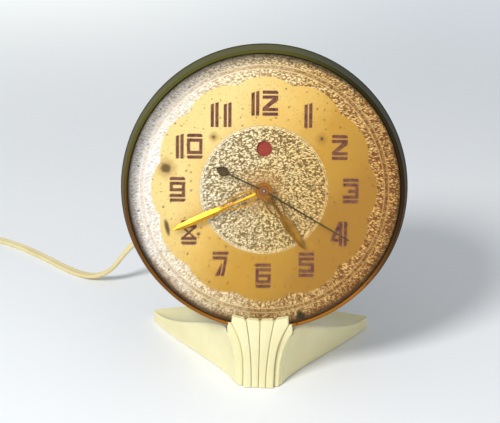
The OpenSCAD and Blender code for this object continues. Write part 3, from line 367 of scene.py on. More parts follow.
def show(thing: Thing, finish: Material, body: str, angle: float = 32.0) -> Thing:
    """Finishes a piece: material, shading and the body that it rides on.

    Args:
        thing: The piece.
        finish: Its material.
        body: The frame's body that carries it.
        angle: Crease angle in degrees.

    Returns:
        The piece.
    """
    thing.data.materials.clear()
    thing.data.materials.append(finish)
    shade(thing, angle)
    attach(thing, body)
    LOG.info("piece %s: %d faces on %s", thing.name, len(thing.data.polygons), body)
    return thing


# Shader words


class Desk:
    """Short words for laying out one node tree."""

    def __init__(self, tree: Tree) -> None:
        """Takes the tree that the nodes go into."""
        self.tree = tree

    def put(self, socket: Socket, value: Any) -> None:
        """Links a socket to an output, or sets its own value.

        Args:
            socket: The socket.
            value: An output, a plain value, or None to leave it.
        """
        if isinstance(value, Socket):
            self.tree.links.new(value, socket)
        elif value is not None:
            socket.default_value = value

    def add(self, kind: str, inputs: dict[Any, Any] | None = None, **settings: Any) -> Node:
        """A node of one kind.

        Args:
            kind: Blender's name of the kind, without the word ShaderNode.
            inputs: Values or outputs for its sockets, by name or number.
            settings: Its other properties.

        Returns:
            The node.
        """
        node = self.tree.nodes.new("ShaderNode" + kind)
        for key, value in settings.items():
            setattr(node, key, value)
        for key, value in (inputs or {}).items():
            self.put(node.inputs[key], value)
        return node

    def math(self, operation: str, a: Any, b: Any = None, clamp: bool = False) -> Socket:
        """The result of one sum on numbers."""
        return self.add("Math", {0: a, 1: b}, operation=operation, use_clamp=clamp).outputs[0]

    def here(self) -> Socket:
        """The place on the surface in the frame's axes, in metres."""
        return self.add("TexCoord").outputs["Object"]

    def plus(self, a: Any, b: Any) -> Socket:
        """The sum of two numbers."""
        return self.math("ADD", a, b)

    def minus(self, a: Any, b: Any) -> Socket:
        """The first number less the second."""
        return self.math("SUBTRACT", a, b)

    def times(self, a: Any, b: Any) -> Socket:
        """The product of two numbers."""
        return self.math("MULTIPLY", a, b)

    def lay(self, colour: Any, code: str, mask: Any, share: float = 1.0) -> Socket:
        """A screen colour laid over another where a mask is one, at a share of its strength."""
        return self.tint(mask if share == 1.0 else self.times(mask, share), colour, tone(code))

    def vector(self, operation: str, *values: Any) -> Node:
        """One sum on vectors, as its node."""
        return self.add("VectorMath", dict(enumerate(values)), operation=operation)

    def parts(self, place: Any) -> Sequence[Socket]:
        """A place's three numbers."""
        return self.add("SeparateXYZ", {0: place}).outputs

    def ratio(self, a: Any, b: Any) -> Socket:
        """The first number divided by the second."""
        return self.math("DIVIDE", a, b)

    def below(self, a: Any, b: Any) -> Socket:
        """One where the first number is less than the second, or else zero."""
        return self.math("LESS_THAN", a, b)

    def larger(self, a: Any, b: Any) -> Socket:
        """The larger of two numbers."""
        return self.math("MAXIMUM", a, b)

    def lerp(self, factor: Any, a: Any, b: Any) -> Socket:
        """A number between two, by a factor."""
        return self.add("Mix", {0: factor, 2: a, 3: b}, data_type="FLOAT").outputs[0]

    def tint(self, factor: Any, a: Any, b: Any, way: str = "MIX") -> Socket:
        """A colour between two, by a factor and a way of blending."""
        return self.add("Mix", {0: factor, 6: a, 7: b}, data_type="RGBA", blend_type=way).outputs[2]

    def mask(self, value: Any, low: float, high: float) -> Socket:
        """A soft step from zero at low to one at high; low may be the larger one."""
        inputs = {0: value, 1: low, 2: high}
        return self.add("MapRange", inputs, interpolation_type="SMOOTHSTEP").outputs[0]

    def ramp(self, factor: Any, stops: Stops) -> Socket:
        """A colour read from screen colours along a ramp.

        Args:
            factor: Where to read, from zero to one.
            stops: Positions with their colours.

        Returns:
            The colour.
        """
        node = self.add("ValToRGB", {0: factor})
        ends = node.color_ramp.elements
        while len(ends) < len(stops):
            ends.new(0.5)
        for end, (position, code) in zip(ends, stops):
            end.position, end.color = position, tone(code)
        return node.outputs[0]

    def noise(self, place: Any, scale: Any, detail: float = 3.0, rough: float = 0.55) -> Node:
        """A cloudy texture, as its node."""
        inputs = {"Vector": place, "Scale": scale, "Detail": detail, "Roughness": rough}
        return self.add("TexNoise", inputs)

    def seat(self, place: Any, turn: Triple, scale: Triple) -> Socket:
        """A place turned and scaled about the origin."""
        inputs = {"Vector": place, "Rotation": turn, "Scale": scale}
        return self.add("Mapping", inputs).outputs[0]

    def spots(self, place: Any, scale: Any, turn: float = 0.0, stretch: float = 1.0) -> Node:
        """A flat cell texture, turned and stretched, as its node."""
        seat = self.seat(place, (0.0, 0.0, turn), (1.0, stretch, 1.0))
        return self.add("TexVoronoi", {"Vector": seat, "Scale": scale}, voronoi_dimensions="2D")

    def line(self, radius: Any, at: float, half: float) -> Socket:
        """One along a circle of a radius, softly zero beside it."""
        away = self.math("ABSOLUTE", self.minus(radius, at))
        return self.mask(away, half, half * 0.35)

    def bump(self, height: Any, distance: float, strength: float) -> Socket:
        """The normal of a surface with a height on it, in metres at full strength."""
        inputs = {"Height": height, "Distance": distance, "Strength": strength}
        return self.add("Bump", inputs).outputs[0]

    def use(self, group: Tree, **values: Any) -> Node:
        """A node group placed here, with its named inputs set.

        Args:
            group: The group.
            values: Values or outputs for its inputs.

        Returns:
            The group's node.
        """
        node = self.add("Group", node_tree=group)
        for key, value in values.items():
            self.put(node.inputs[key], value)
        return node


class Effect(Desk):
    """A node group under construction: an effect that several finishes share."""

    def __init__(self, name: str, inputs: dict[str, float], outputs: dict[str, str]) -> None:
        """Makes the group and its sockets.

        Args:
            name: The group's name.
            inputs: Number inputs with their first values.
            outputs: Names of the outputs with their kinds: Float, Color or Vector.
        """
        super().__init__(bpy.data.node_groups.new(name, "ShaderNodeTree"))
        face = self.tree.interface
        for key, value in inputs.items():
            socket = face.new_socket(key, in_out="INPUT", socket_type="NodeSocketFloat")
            socket.default_value = value
        for key, kind in outputs.items():
            face.new_socket(key, in_out="OUTPUT", socket_type="NodeSocket" + kind)
        self.given = self.tree.nodes.new("NodeGroupInput").outputs
        self.result = self.tree.nodes.new("NodeGroupOutput").inputs

    def close(self, **values: Any) -> Tree:
        """Links the outputs and returns the finished group.

        Args:
            values: The group's outputs by name.

        Returns:
            The group.
        """
        for key, value in values.items():
            self.put(self.result[key], value)
        return self.tree


class Effects:
    """The shared effects, built once."""

    def __init__(self) -> None:
        """Builds every group."""
        self.dial_place = self._dial_place()
        self.uneven = self._uneven()
        self.specks = self._specks()
        self.dial_specks = self._dial_specks()
        self.scratches = self._scratches()
        self.stain = self._stain()
        self.spun = self._spun()

    @staticmethod
    def _dial_place() -> Tree:
        """Place on the head in millimetres, with the radius from its axis.

        Returns:
            The group.
        """
        kinds = {"Place": "Vector", "Radius": "Float", "Across": "Float", "Up": "Float"}
        desk = Effect("dial_place", {}, kinds)
        turn = math.radians(HEAD.tilt - 90)
        down = HEAD.height * MM
        moved = (0.0, down * math.sin(turn), -down * math.cos(turn))
        inputs = {"Vector": desk.here(), "Location": moved, "Rotation": (turn, 0.0, 0.0)}
        seat = desk.add("Mapping", inputs)
        large = desk.vector("SCALE", seat.outputs[0])
        large.inputs["Scale"].default_value = 1 / MM
        across, up, _ = desk.parts(large.outputs[0])
        squares = desk.plus(desk.times(across, across), desk.times(up, up))
        radius = desk.math("SQRT", squares)
        return desk.close(Place=large.outputs[0], Radius=radius, Across=across, Up=up)

    @staticmethod
    def _uneven() -> Tree:
        """Soft unevenness of tone at two scales, for any surface.

        Returns:
            The group.
        """
        kinds = {"Broad": "Float", "Grain": "Float"}
        desk = Effect("uneven_tone", {"Scale": 60.0, "Fine": 900.0}, kinds)
        place = desk.here()
        broad = desk.noise(place, desk.given["Scale"], 4.0, 0.6).outputs[0]
        grain = desk.noise(place, desk.given["Fine"], 3.0, 0.7).outputs[0]
        return desk.close(Broad=desk.mask(broad, 0.3, 0.7), Grain=desk.mask(grain, 0.3, 0.7))

    @staticmethod
    def _specks() -> Tree:
        """Small round spots of dirt or corrosion, thinned out at random.

        Returns:
            The group.
        """
        desk = Effect("age_specks", {"Scale": 400.0, "Size": 0.16, "Share": 0.3}, {"Mask": "Float"})
        place = desk.here()
        cloud = desk.noise(place, 700.0).outputs[1]
        shaken = desk.vector("MULTIPLY_ADD", cloud, (0.0012, 0.0012, 0.0012), place).outputs[0]
        spots = desk.add("TexVoronoi", {"Vector": shaken, "Scale": desk.given["Scale"]})
        pick = desk.add("SeparateColor", {0: spots.outputs["Color"]})
        size = desk.times(desk.given["Size"], pick.outputs[1])
        near = desk.below(spots.outputs["Distance"], size)
        kept = desk.below(pick.outputs[0], desk.given["Share"])
        return desk.close(Mask=desk.times(near, kept))

    def _dial_specks(self) -> Tree:
        """Ragged specks lying on the dial's face, with scales in spots to the millimetre.

        Returns:
            The group.
        """
        desk = Effect("dial_specks", {"Scale": 0.3, "Size": 0.12, "Share": 0.5}, {"Mask": "Float"})
        place = desk.use(self.dial_place).outputs["Place"]
        cloud = desk.noise(place, 1.6, 2.0).outputs[1]
        shaken = desk.vector("MULTIPLY_ADD", cloud, (0.9, 0.9, 0.0), place).outputs[0]
        spots = desk.spots(shaken, desk.given["Scale"])
        pick = desk.add("SeparateColor", {0: spots.outputs["Color"]})
        size = desk.times(desk.given["Size"], desk.plus(pick.outputs[1], 0.25))
        depth = desk.ratio(spots.outputs["Distance"], size)
        kept = desk.below(pick.outputs[0], desk.given["Share"])
        return desk.close(Mask=desk.times(desk.mask(depth, 1.2, 0.6), kept))

    @staticmethod
    def _scratches() -> Tree:
        """Fine hairline marks from handling, in two crossing directions.

        Returns:
            The group.
        """
        desk = Effect("hairlines", {"Scale": 90.0, "Share": 0.5}, {"Mask": "Float"})
        place = desk.here()
        lines = []
        for turn in (0.5, 1.9):
            seat = desk.seat(place, (turn, turn * 0.7, turn), (1.0, 14.0, 14.0))
            streaks = desk.noise(seat, desk.given["Scale"], 2.0, 0.5).outputs[0]
            away = desk.math("ABSOLUTE", desk.minus(streaks, 0.5))
            lines.append(desk.mask(away, 0.012, 0.0))
        patch = desk.noise(place, 120.0, 2.0).outputs[0]
        shown = desk.below(patch, desk.given["Share"])
        return desk.close(Mask=desk.times(desk.larger(*lines), shown))

    def _stain(self) -> Tree:
        """One stain on the dial: a core and a halo round a place in millimetres.

        Returns:
            The group.
        """
        given = {"Across": 0.0, "Up": 0.0, "Core": 1.0, "Halo": 4.0, "Squeeze": 1.0, "Turn": 0.0}
        desk = Effect("dial_stain", given, {"Core": "Float", "Halo": "Float"})
        place, _, across, up = desk.use(self.dial_place).outputs
        ragged = desk.noise(place, 0.45, 4.0, 0.65).outputs[0]
        x = desk.minus(across, desk.given["Across"])
        y = desk.minus(up, desk.given["Up"])
        cosine, sine = (desk.math(key, desk.given["Turn"]) for key in ("COSINE", "SINE"))
        along = desk.minus(desk.times(x, cosine), desk.times(y, sine))
        y = desk.plus(desk.times(x, sine), desk.times(y, cosine))
        x = desk.times(along, desk.given["Squeeze"])
        away = desk.math("SQRT", desk.plus(desk.times(x, x), desk.times(y, y)))
        away = desk.times(away, desk.lerp(ragged, 0.55, 1.45))
        shares = []
        for key, full in (("Core", 0.5), ("Halo", 0.9)):
            left = desk.math("SUBTRACT", 1.0, desk.ratio(away, desk.given[key]), clamp=True)
            shares.append(desk.mask(left, 0.0, full))
        return desk.close(Core=shares[0], Halo=shares[1])

    def _spun(self) -> Tree:
        """Fine concentric lines that turning or polishing leaves round the head's axis.

        Returns:
            The group.
        """
        desk = Effect("spun_lines", {"Step": 6.0}, {"Lines": "Float"})
        place, radius, _, _ = desk.use(self.dial_place).outputs
        along = desk.times(radius, desk.given["Step"])
        deep = desk.parts(place)[2]
        point = desk.add("CombineXYZ", {0: along, 1: desk.times(deep, desk.given["Step"]), 2: 0.0})
        return desk.close(Lines=desk.noise(point.outputs[0], 1.0, 2.0, 0.6).outputs[0])


class Surface(Desk):
    """A material in the making."""

    def __init__(self, name: str) -> None:
        """Starts an empty material.

        Args:
            name: The material's name.
        """
        self.material = bpy.data.materials.new(name)
        self.material.use_nodes = True
        super().__init__(self.material.node_tree)
        self.tree.nodes.clear()
        self.end = self.add("OutputMaterial").inputs[0]

    def close(self, **sockets: Any) -> Material:
        """Ends the material in one Principled surface.

        Args:
            sockets: Values or outputs for its sockets; underscores stand for spaces.

        Returns:
            The finished material.
        """
        inputs = {key.replace("_", " "): value for key, value in sockets.items()}
        self.put(self.end, self.add("BsdfPrincipled", inputs).outputs[0])
        return self.material


# Finishes


@dataclass(frozen=True)
class MetalFinish:
    """A plain metal with tarnish, hairlines and specks."""

    name: str
    clean: str
    tarnished: str
    tarnish: float = 0.5
    roughness: float = 0.3
    specks: float = 0.15
    speck_tone: str = "3a2a14"
    metallic: float = 1.0
    hairlines: float = 0.5
    hub: float = 0.0
    hub_tone: str = "b4762c"

    def build(self, effects: Effects) -> Material:
        """Makes the material.

        Args:
            effects: The shared effects.

        Returns:
            The material.
        """
        desk = Surface(self.name)
        broad, grain = desk.use(effects.uneven, Scale=90.0, Fine=1400.0).outputs
        lines = desk.use(effects.scratches, Scale=160.0, Share=self.hairlines).outputs[0]
        spots = desk.use(effects.specks, Scale=700.0, Size=0.3, Share=self.specks).outputs[0]
        amount = desk.times(broad, self.tarnish)
        colour = desk.lay(tone(self.clean), self.tarnished, amount)
        colour = desk.lay(colour, self.speck_tone, spots, 0.7)
        if self.hub:
            radius = desk.use(effects.dial_place).outputs["Radius"]
            turned_lines = desk.mask(desk.math("SINE", desk.times(radius, 5.0)), 0.5, 1.0)
            brown = desk.lay(tone(self.hub_tone), "2c1608", turned_lines, 0.6)
            colour = desk.tint(desk.mask(radius, self.hub + 0.4, self.hub), colour, brown)
        rough = desk.lerp(grain, self.roughness * 0.85, self.roughness * 1.25)
        rough = desk.lerp(desk.times(lines, 0.4), rough, 0.6)
        height = desk.minus(grain, lines)
        return desk.close(
            Base_Color=colour,
            Metallic=self.metallic,
            Roughness=rough,
            Normal=desk.bump(height, FINE_MARKS, 0.5),
        )


@dataclass(frozen=True)
class PaintFinish:
    """Enamel, lacquer or paint with small chips and dust in it."""

    name: str
    colour: str
    worn: str
    roughness: float = 0.4
    chips: float = 0.2
    hub: float = 0.0
    hub_tone: str = "8a5426"

    def build(self, effects: Effects) -> Material:
        """Makes the material.

        Args:
            effects: The shared effects.

        Returns:
            The material.
        """
        desk = Surface(self.name)
        broad, grain = desk.use(effects.uneven, Scale=300.0, Fine=2200.0).outputs
        spots = desk.use(effects.specks, Scale=1500.0, Size=0.5, Share=self.chips).outputs[0]
        faded = desk.times(broad, 0.35)
        colour = desk.lay(tone(self.colour), self.worn, faded)
        colour = desk.lay(colour, self.worn, spots, 0.6)
        if self.hub:
            radius = desk.use(effects.dial_place).outputs["Radius"]
            brown = desk.lay(tone(self.hub_tone), self.colour, desk.mask(radius, 1.2, 0.9))
            colour = desk.tint(desk.mask(radius, self.hub + 0.2, self.hub), colour, brown)
        rough = desk.lerp(grain, self.roughness * 0.8, self.roughness * 1.3)
        return desk.close(
            Base_Color=colour,
            Specular_IOR_Level=0.2,
            Roughness=rough,
            Normal=desk.bump(desk.minus(grain, spots), FINE_MARKS, 0.5),
        )


@dataclass(frozen=True)
class MouldingFinish:
    """Moulded plastic: flow marks, an orange peel skin and dust in its tone."""

    name: str
    colour: str
    flow: str
    flow_share: float = 0.5
    roughness: float = 0.4
    skin: float = 0.25
    dust: str = "8a8272"
    dust_share: float = 0.1
    soft: float = 0.0
    specks: float = 0.06
    speck_tone: str = "6b5a3a"

    def build(self, effects: Effects) -> Material:
        """Makes the material.

        Args:
            effects: The shared effects.

        Returns:
            The material.
        """
        desk = Surface(self.name)
        broad, grain = desk.use(effects.uneven, Scale=38.0, Fine=1600.0).outputs
        lines = desk.use(effects.scratches, Scale=60.0, Share=0.45).outputs[0]
        spots = desk.use(effects.specks, Scale=260.0, Size=0.1, Share=self.specks).outputs[0]
        flow = desk.times(broad, self.flow_share)
        colour = desk.lay(tone(self.colour), self.flow, flow)
        upward = desk.parts(desk.add("NewGeometry").outputs["Normal"])[2]
        dusty = desk.times(desk.mask(upward, 0.6, 1.0), grain)
        dusty = desk.times(dusty, self.dust_share)
        colour = desk.lay(colour, self.dust, dusty)
        colour = desk.lay(colour, self.speck_tone, spots, 0.6)
        rough = desk.lerp(broad, self.roughness * 0.85, self.roughness * 1.2)
        rough = desk.plus(rough, desk.times(lines, 0.12))
        place = desk.here()
        peel = desk.noise(place, 420.0, 2.0, 0.4).outputs[0]
        height = desk.minus(peel, desk.times(lines, 0.4))
        return desk.close(
            Base_Color=colour,
            Roughness=rough,
            Subsurface_Weight=self.soft,
            Subsurface_Radius=(1.0, 0.75, 0.45),
            Subsurface_Scale=0.0012,
            Normal=desk.bump(height, MOULDED_SKIN, self.skin),
        )


@dataclass(frozen=True)
class BezelBrass:
    """The bezel's old lacquered brass, with painted reflections: golden below, brown at its sides and
    olive above, and painted shade at its right, inside its lip and along its rolled edge.
    """

    name: str = "bezel_brass"
    # Colours by height: painted reflections of the room, golden below to olive above
    heights: Stops = ((0.06, "9a6220"), (0.24, "74491c"), (0.46, "5a3c1a"), (0.8, "4f4c20"))
    # Tone of the painted shadow inside the lip and of the dark specks of dirt
    dark: str = "120e06"
    rolled_edge_shade: str = "26300f"
    # Radii of the painted shadow inside the lip, then of the painted shade along the rolled edge
    lip: tuple[float, float] = (72.9, 72.3)
    edge: tuple[float, float] = (77.0, 77.6)

    def build(self, effects: Effects) -> Material:
        """Makes the material.

        Args:
            effects: The shared effects.

        Returns:
            The material.
        """
        desk = Surface(self.name)
        _, radius, across, up = desk.use(effects.dial_place).outputs
        broad, grain = desk.use(effects.uneven, Scale=45.0, Fine=1500.0).outputs
        spun = desk.use(effects.spun, Step=9.0).outputs[0]
        spots = desk.use(effects.specks, Scale=300.0, Size=0.26, Share=0.22).outputs[0]
        # Painted reflections: the colour turns with height, from golden below to olive above
        lean = desk.plus(up, desk.times(across, -0.2))
        ragged = desk.times(desk.minus(broad, 0.5), 12.0)
        rise = desk.math("ADD", desk.ratio(desk.plus(lean, ragged), 160.0), 0.5, clamp=True)
        colour = desk.ramp(rise, self.heights)
        # Painted shade over the right side and along the rolled edge, a painted shadow inside the lip,
        # then dark specks of dirt
        shaded = desk.mask(desk.minus(across, desk.times(up, -0.35)), 30.0, 72.0)
        for code, mask, share in (
            ("140e05", shaded, 0.8),
            (self.rolled_edge_shade, desk.mask(radius, *self.edge), 0.75),
            (self.dark, desk.mask(radius, *self.lip), 0.85),
            (self.dark, spots, 0.6),
        ):
            colour = desk.lay(colour, code, mask, share)
        height = desk.plus(spun, desk.times(grain, 0.4))
        return desk.close(
            Base_Color=colour,
            Metallic=0.08,
            Specular_IOR_Level=0.05,
            Roughness=desk.lerp(spots, desk.lerp(spun, 0.5, 0.62), 0.8),
            Normal=desk.bump(height, FINE_MARKS, 0.4),
        )


@dataclass(frozen=True)
class SilveredDial:
    """The dial's silvered sheet, with painted light: flecks with painted glints on a ground painted
    pale at the left and shaded golden toward the right.
    """

    name: str = "silvered_dial"
    # Colours along the painted light: lit and pale at the left, shaded and golden toward the right
    ground: Stops = ((0.1, "e8ddd3"), (0.36, "c4a878"), (0.62, "94692f"), (0.94, "7c4a18"))
    bright: Stops = ((0.1, "fffcf6"), (0.36, "fff0cc"), (0.62, "f6d894"), (0.94, "eebc6c"))
    middle: Stops = ((0.3, "8a7642"), (0.7, "7a5c2a"))
    strokes: Rows = ((0.5, 2.2, 0.4), (-0.9, 1.9, 0.56), (1.9, 1.6, 0.9))
    deep: str = "4d472c"
    rust: str = "7a4a1c"

    def _flecks(self, desk: Desk, place: Any, share: Any) -> tuple[Any, Node]:
        """How bright each fleck's painted glint is, and the smallest layer's cells.

        Args:
            desk: The material's desk.
            place: Place on the dial in millimetres.
            share: How far into the painted shade toward the right, from zero to one; fewer flecks glint
                there.

        Returns:
            The flecks' brightness and the cell texture.
        """
        lit: Any = 0.0
        for turn, stretch, scale in self.strokes:
            cells = desk.spots(place, scale, turn, stretch)
            pick = desk.add("SeparateColor", {0: cells.outputs["Color"]})
            low, high = desk.lerp(share, 0.12, 0.5), desk.lerp(share, 0.5, 0.85)
            shown = desk.mask(pick.outputs[0], low, high)
            spot = desk.times(desk.mask(cells.outputs["Distance"], 0.46, 0.2), shown)
            lit = desk.larger(spot, lit)
        return lit, cells

    def build(self, effects: Effects) -> Material:
        """Makes the material.

        Args:
            effects: The shared effects.

        Returns:
            The material.
        """
        desk = Surface(self.name)
        place, radius, across, up = desk.use(effects.dial_place).outputs
        patch = desk.minus(desk.noise(place, 0.05, 3.0).outputs[0], 0.5)
        # Painted light: pale at the left and shaded toward the right, with random patches
        lean = desk.minus(across, desk.times(up, 0.15))
        lean = desk.plus(lean, desk.times(patch, 40.0))
        share = desk.math("ADD", desk.ratio(lean, 150.0), 0.53, clamp=True)
        inside = desk.mask(radius, CENTRE_R + 0.2, CENTRE_R - 0.2)
        lit, cells = self._flecks(desk, place, desk.lerp(inside, share, 0.6))
        ground = desk.ramp(share, self.ground)
        ground = desk.tint(inside, ground, desk.ramp(share, self.middle))
        bright = desk.ramp(share, self.bright)
        pick = desk.add("SeparateColor", {0: cells.outputs["Color"]})
        hue = desk.lay(tone("fff0b4"), "f2dcf2", pick.outputs[2])
        ground = desk.tint(0.55, ground, hue, "MULTIPLY")
        ground = desk.lay(ground, self.deep, pick.outputs[1], 0.24)
        # Painted highlights along the raised rings, fainter toward the shaded right
        rings: Any = 0.0
        for at in RAISED_RINGS:
            rings = desk.larger(desk.line(radius, at, 0.42), rings)
        band = desk.line(radius, sum(RAISED_RINGS[2:]) / 2, 1.6)
        lit = desk.times(lit, desk.lerp(band, 1.0, 0.45))
        lit = desk.larger(lit, desk.times(rings, desk.lerp(share, 0.95, 0.6)))
        colour = desk.tint(lit, ground, bright)
        gap = desk.line(radius, CENTRE_R + 0.45, 0.3)
        colour = desk.lay(colour, self.deep, gap, 0.6)
        warm = desk.times(desk.mask(radius, 17.0, 5.0), 0.45)
        colour = desk.lay(colour, "c08a3c", warm)
        edge = desk.plus(radius, desk.times(patch, 5.0))
        low = desk.mask(up, -25.0, -60.0)
        burnt = desk.times(desk.mask(edge, 68.2, 72.6), desk.lerp(low, 0.12, 0.8))
        colour = desk.lay(colour, self.rust, burnt)
        # Painted shadow of the bezel's lip across the top of the dial
        above = desk.times(desk.mask(up, 40.0, 66.0), desk.mask(radius, 69.6, 71.4))
        colour = desk.lay(colour, "4e4a3a", above, 0.55)
        # Painted shade along the dial's rim under the bezel
        rim = desk.times(desk.mask(radius, 71.2, 72.2), 0.5)
        colour = desk.lay(colour, self.deep, rim)
        spots = desk.use(effects.dial_specks, Scale=0.16, Size=0.1, Share=0.5).outputs[0]
        colour = desk.lay(colour, "3a3018", spots, 0.7)
        lump = desk.use(effects.stain, Across=21.8, Up=-67.7, Core=3.2, Halo=6.0)
        colour = desk.lay(colour, "3b3414", lump.outputs["Core"])
        tilt = desk.vector("SUBTRACT", cells.outputs["Color"], (0.5, 0.5, 0.5)).outputs[0]
        upright = desk.add("NewGeometry").outputs["Normal"]
        leaning = desk.vector("MULTIPLY_ADD", tilt, (0.3, 0.3, 0.3), upright).outputs[0]
        normal = desk.vector("NORMALIZE", leaning).outputs[0]
        return desk.close(
            Base_Color=colour,
            Metallic=0.2,
            Specular_IOR_Level=0.2,
            Roughness=desk.lerp(pick.outputs[1], 0.35, 0.6),
            Normal=normal,
        )


@dataclass(frozen=True)
class GiltRing:
    """The satin gilt chapter ring, with painted light: pale at its upper left, shaded deep golden
    toward its lower right.
    """

    name: str = "gilt_ring"
    gold_lit_to_shaded: Stops = (
        (0.08, "ecd086"),
        (0.36, "e2b85e"),
        (0.62, "c29028"),
        (0.76, "ba8a26"),
        (0.92, "a8761a"),
    )
    brown: str = "6b4310"
    stains: Rows = (
        (-52.6, 10.3, 3.2, 7.8, 1.0, 0.0),
        (-27.6, 27.6, 1.0, 3.8, 1.0, 0.0),
        (30.0, 28.2, 1.2, 4.8, 1.0, 0.0),
        (-51.4, -21.6, 5.6, 6.0, 3.6, -0.27),
        (-34.5, -24.6, 1.1, 1.6, 1.0, 0.0),
    )

    def build(self, effects: Effects) -> Material:
        """Makes the material.

        Args:
            effects: The shared effects.

        Returns:
            The material.
        """
        desk = Surface(self.name)
        place, _, across, up = desk.use(effects.dial_place).outputs
        broad, grain = desk.use(effects.uneven, Scale=28.0, Fine=2600.0).outputs
        # Painted light: pale at the upper left, shaded deep golden toward the lower right
        lean = desk.minus(across, desk.times(up, 0.6))
        lean = desk.plus(lean, desk.times(desk.minus(broad, 0.5), 14.0))
        share = desk.math("ADD", desk.ratio(lean, 120.0), 0.5, clamp=True)
        colour = desk.ramp(share, self.gold_lit_to_shaded)
        mottle = desk.noise(place, 0.5, 4.0, 0.7).outputs[0]
        colour = desk.lay(colour, "8f6a24", desk.mask(mottle, 0.5, 0.75), 0.16)
        keys = ("Across", "Up", "Core", "Halo", "Squeeze", "Turn")
        for sizes in self.stains:
            core, halo = desk.use(effects.stain, **dict(zip(keys, sizes))).outputs
            colour = desk.lay(colour, "a06e1c", halo, 0.75)
            colour = desk.lay(colour, "4d3c12", core, 0.85)
        for scale, size, share_kept, depth in ((0.55, 0.15, 0.6, 0.45), (0.2, 0.1, 0.75, 0.8)):
            spots = desk.use(effects.dial_specks, Scale=scale, Size=size, Share=share_kept).outputs[0]
            colour = desk.lay(colour, self.brown, desk.times(spots, depth))
        return desk.close(
            Base_Color=colour,
            Metallic=0.3,
            Roughness=desk.lerp(grain, 0.38, 0.5),
            Normal=desk.bump(grain, FINE_MARKS, 0.35),
        )


@dataclass(frozen=True)
class ClearGlass:
    """The domed glass, with a faint haze of dust and wiped streaks."""

    name: str = "dome_glass"

    def build(self, effects: Effects) -> Material:
        """Makes the material.

        Args:
            effects: The shared effects.

        Returns:
            The material.
        """
        desk = Surface(self.name)
        broad, _ = desk.use(effects.uneven, Scale=18.0, Fine=500.0).outputs
        lines = desk.use(effects.scratches, Scale=40.0, Share=0.4).outputs[0]
        rough = desk.times(broad, 0.008)
        return desk.close(
            Base_Color=tone("fbfffd"),
            Metallic=0.0,
            Roughness=desk.plus(rough, desk.times(lines, 0.02)),
            IOR=1.5,
            Transmission_Weight=1.0,
            Alpha=0.15,
        )


@dataclass(frozen=True)
class FeltFinish:
    """Pressed felt: matted fibres, lint and a soft sheen."""

    name: str = "pressed_felt"
    colour: str = "3f5136"
    lint: str = "8f9a7c"

    def build(self, effects: Effects) -> Material:
        """Makes the material.

        Args:
            effects: The shared effects.

        Returns:
            The material.
        """
        desk = Surface(self.name)
        place = desk.here()
        fibres = desk.noise(place, 2400.0, 5.0, 0.75).outputs[0]
        broad, _ = desk.use(effects.uneven, Scale=50.0, Fine=800.0).outputs
        lint = desk.use(effects.scratches, Scale=300.0, Share=0.5).outputs[0]
        dark = desk.tint(1.0, tone(self.colour), (0.55, 0.55, 0.55, 1.0), "MULTIPLY")
        colour = desk.lay(dark, self.colour, desk.mask(fibres, 0.35, 0.65))
        colour = desk.lay(colour, self.lint, broad, 0.25)
        colour = desk.lay(colour, self.lint, lint, 0.6)
        return desk.close(
            Base_Color=colour,
            Roughness=0.95,
            Sheen_Weight=0.4,
            Sheen_Roughness=0.6,
            Normal=desk.bump(desk.plus(fibres, lint), FELT_NAP, 0.8),
        )


@dataclass(frozen=True)
class LayeredFinish:
    """Something built up of thin layers or turns: laminations or wound wire."""

    name: str
    colour: str
    gap: str
    axis: Triple
    pitch: float
    roughness: float
    metallic: float

    def build(self, effects: Effects) -> Material:
        """Makes the material.

        Args:
            effects: The shared effects.

        Returns:
            The material.
        """
        desk = Surface(self.name)
        place = desk.here()
        along = desk.vector("DOT_PRODUCT", place, self.axis)
        wander = desk.times(desk.noise(place, 120.0).outputs[0], self.pitch * 0.35)
        phase = desk.times(desk.plus(along.outputs["Value"], wander), math.pi / self.pitch)
        crown = desk.math("ABSOLUTE", desk.math("SINE", phase))
        broad, grain = desk.use(effects.uneven, Scale=150.0, Fine=1500.0).outputs
        colour = desk.lay(tone(self.gap), self.colour, desk.mask(crown, 0.05, 0.45))
        worn = desk.tint(1.0, colour, (0.6, 0.55, 0.5, 1.0), "MULTIPLY")
        colour = desk.tint(desk.times(broad, 0.5), colour, worn)
        return desk.close(
            Base_Color=colour,
            Metallic=self.metallic,
            Roughness=desk.lerp(grain, self.roughness * 0.8, self.roughness * 1.2),
            Normal=desk.bump(crown, self.pitch * 0.4, 0.8),
        )


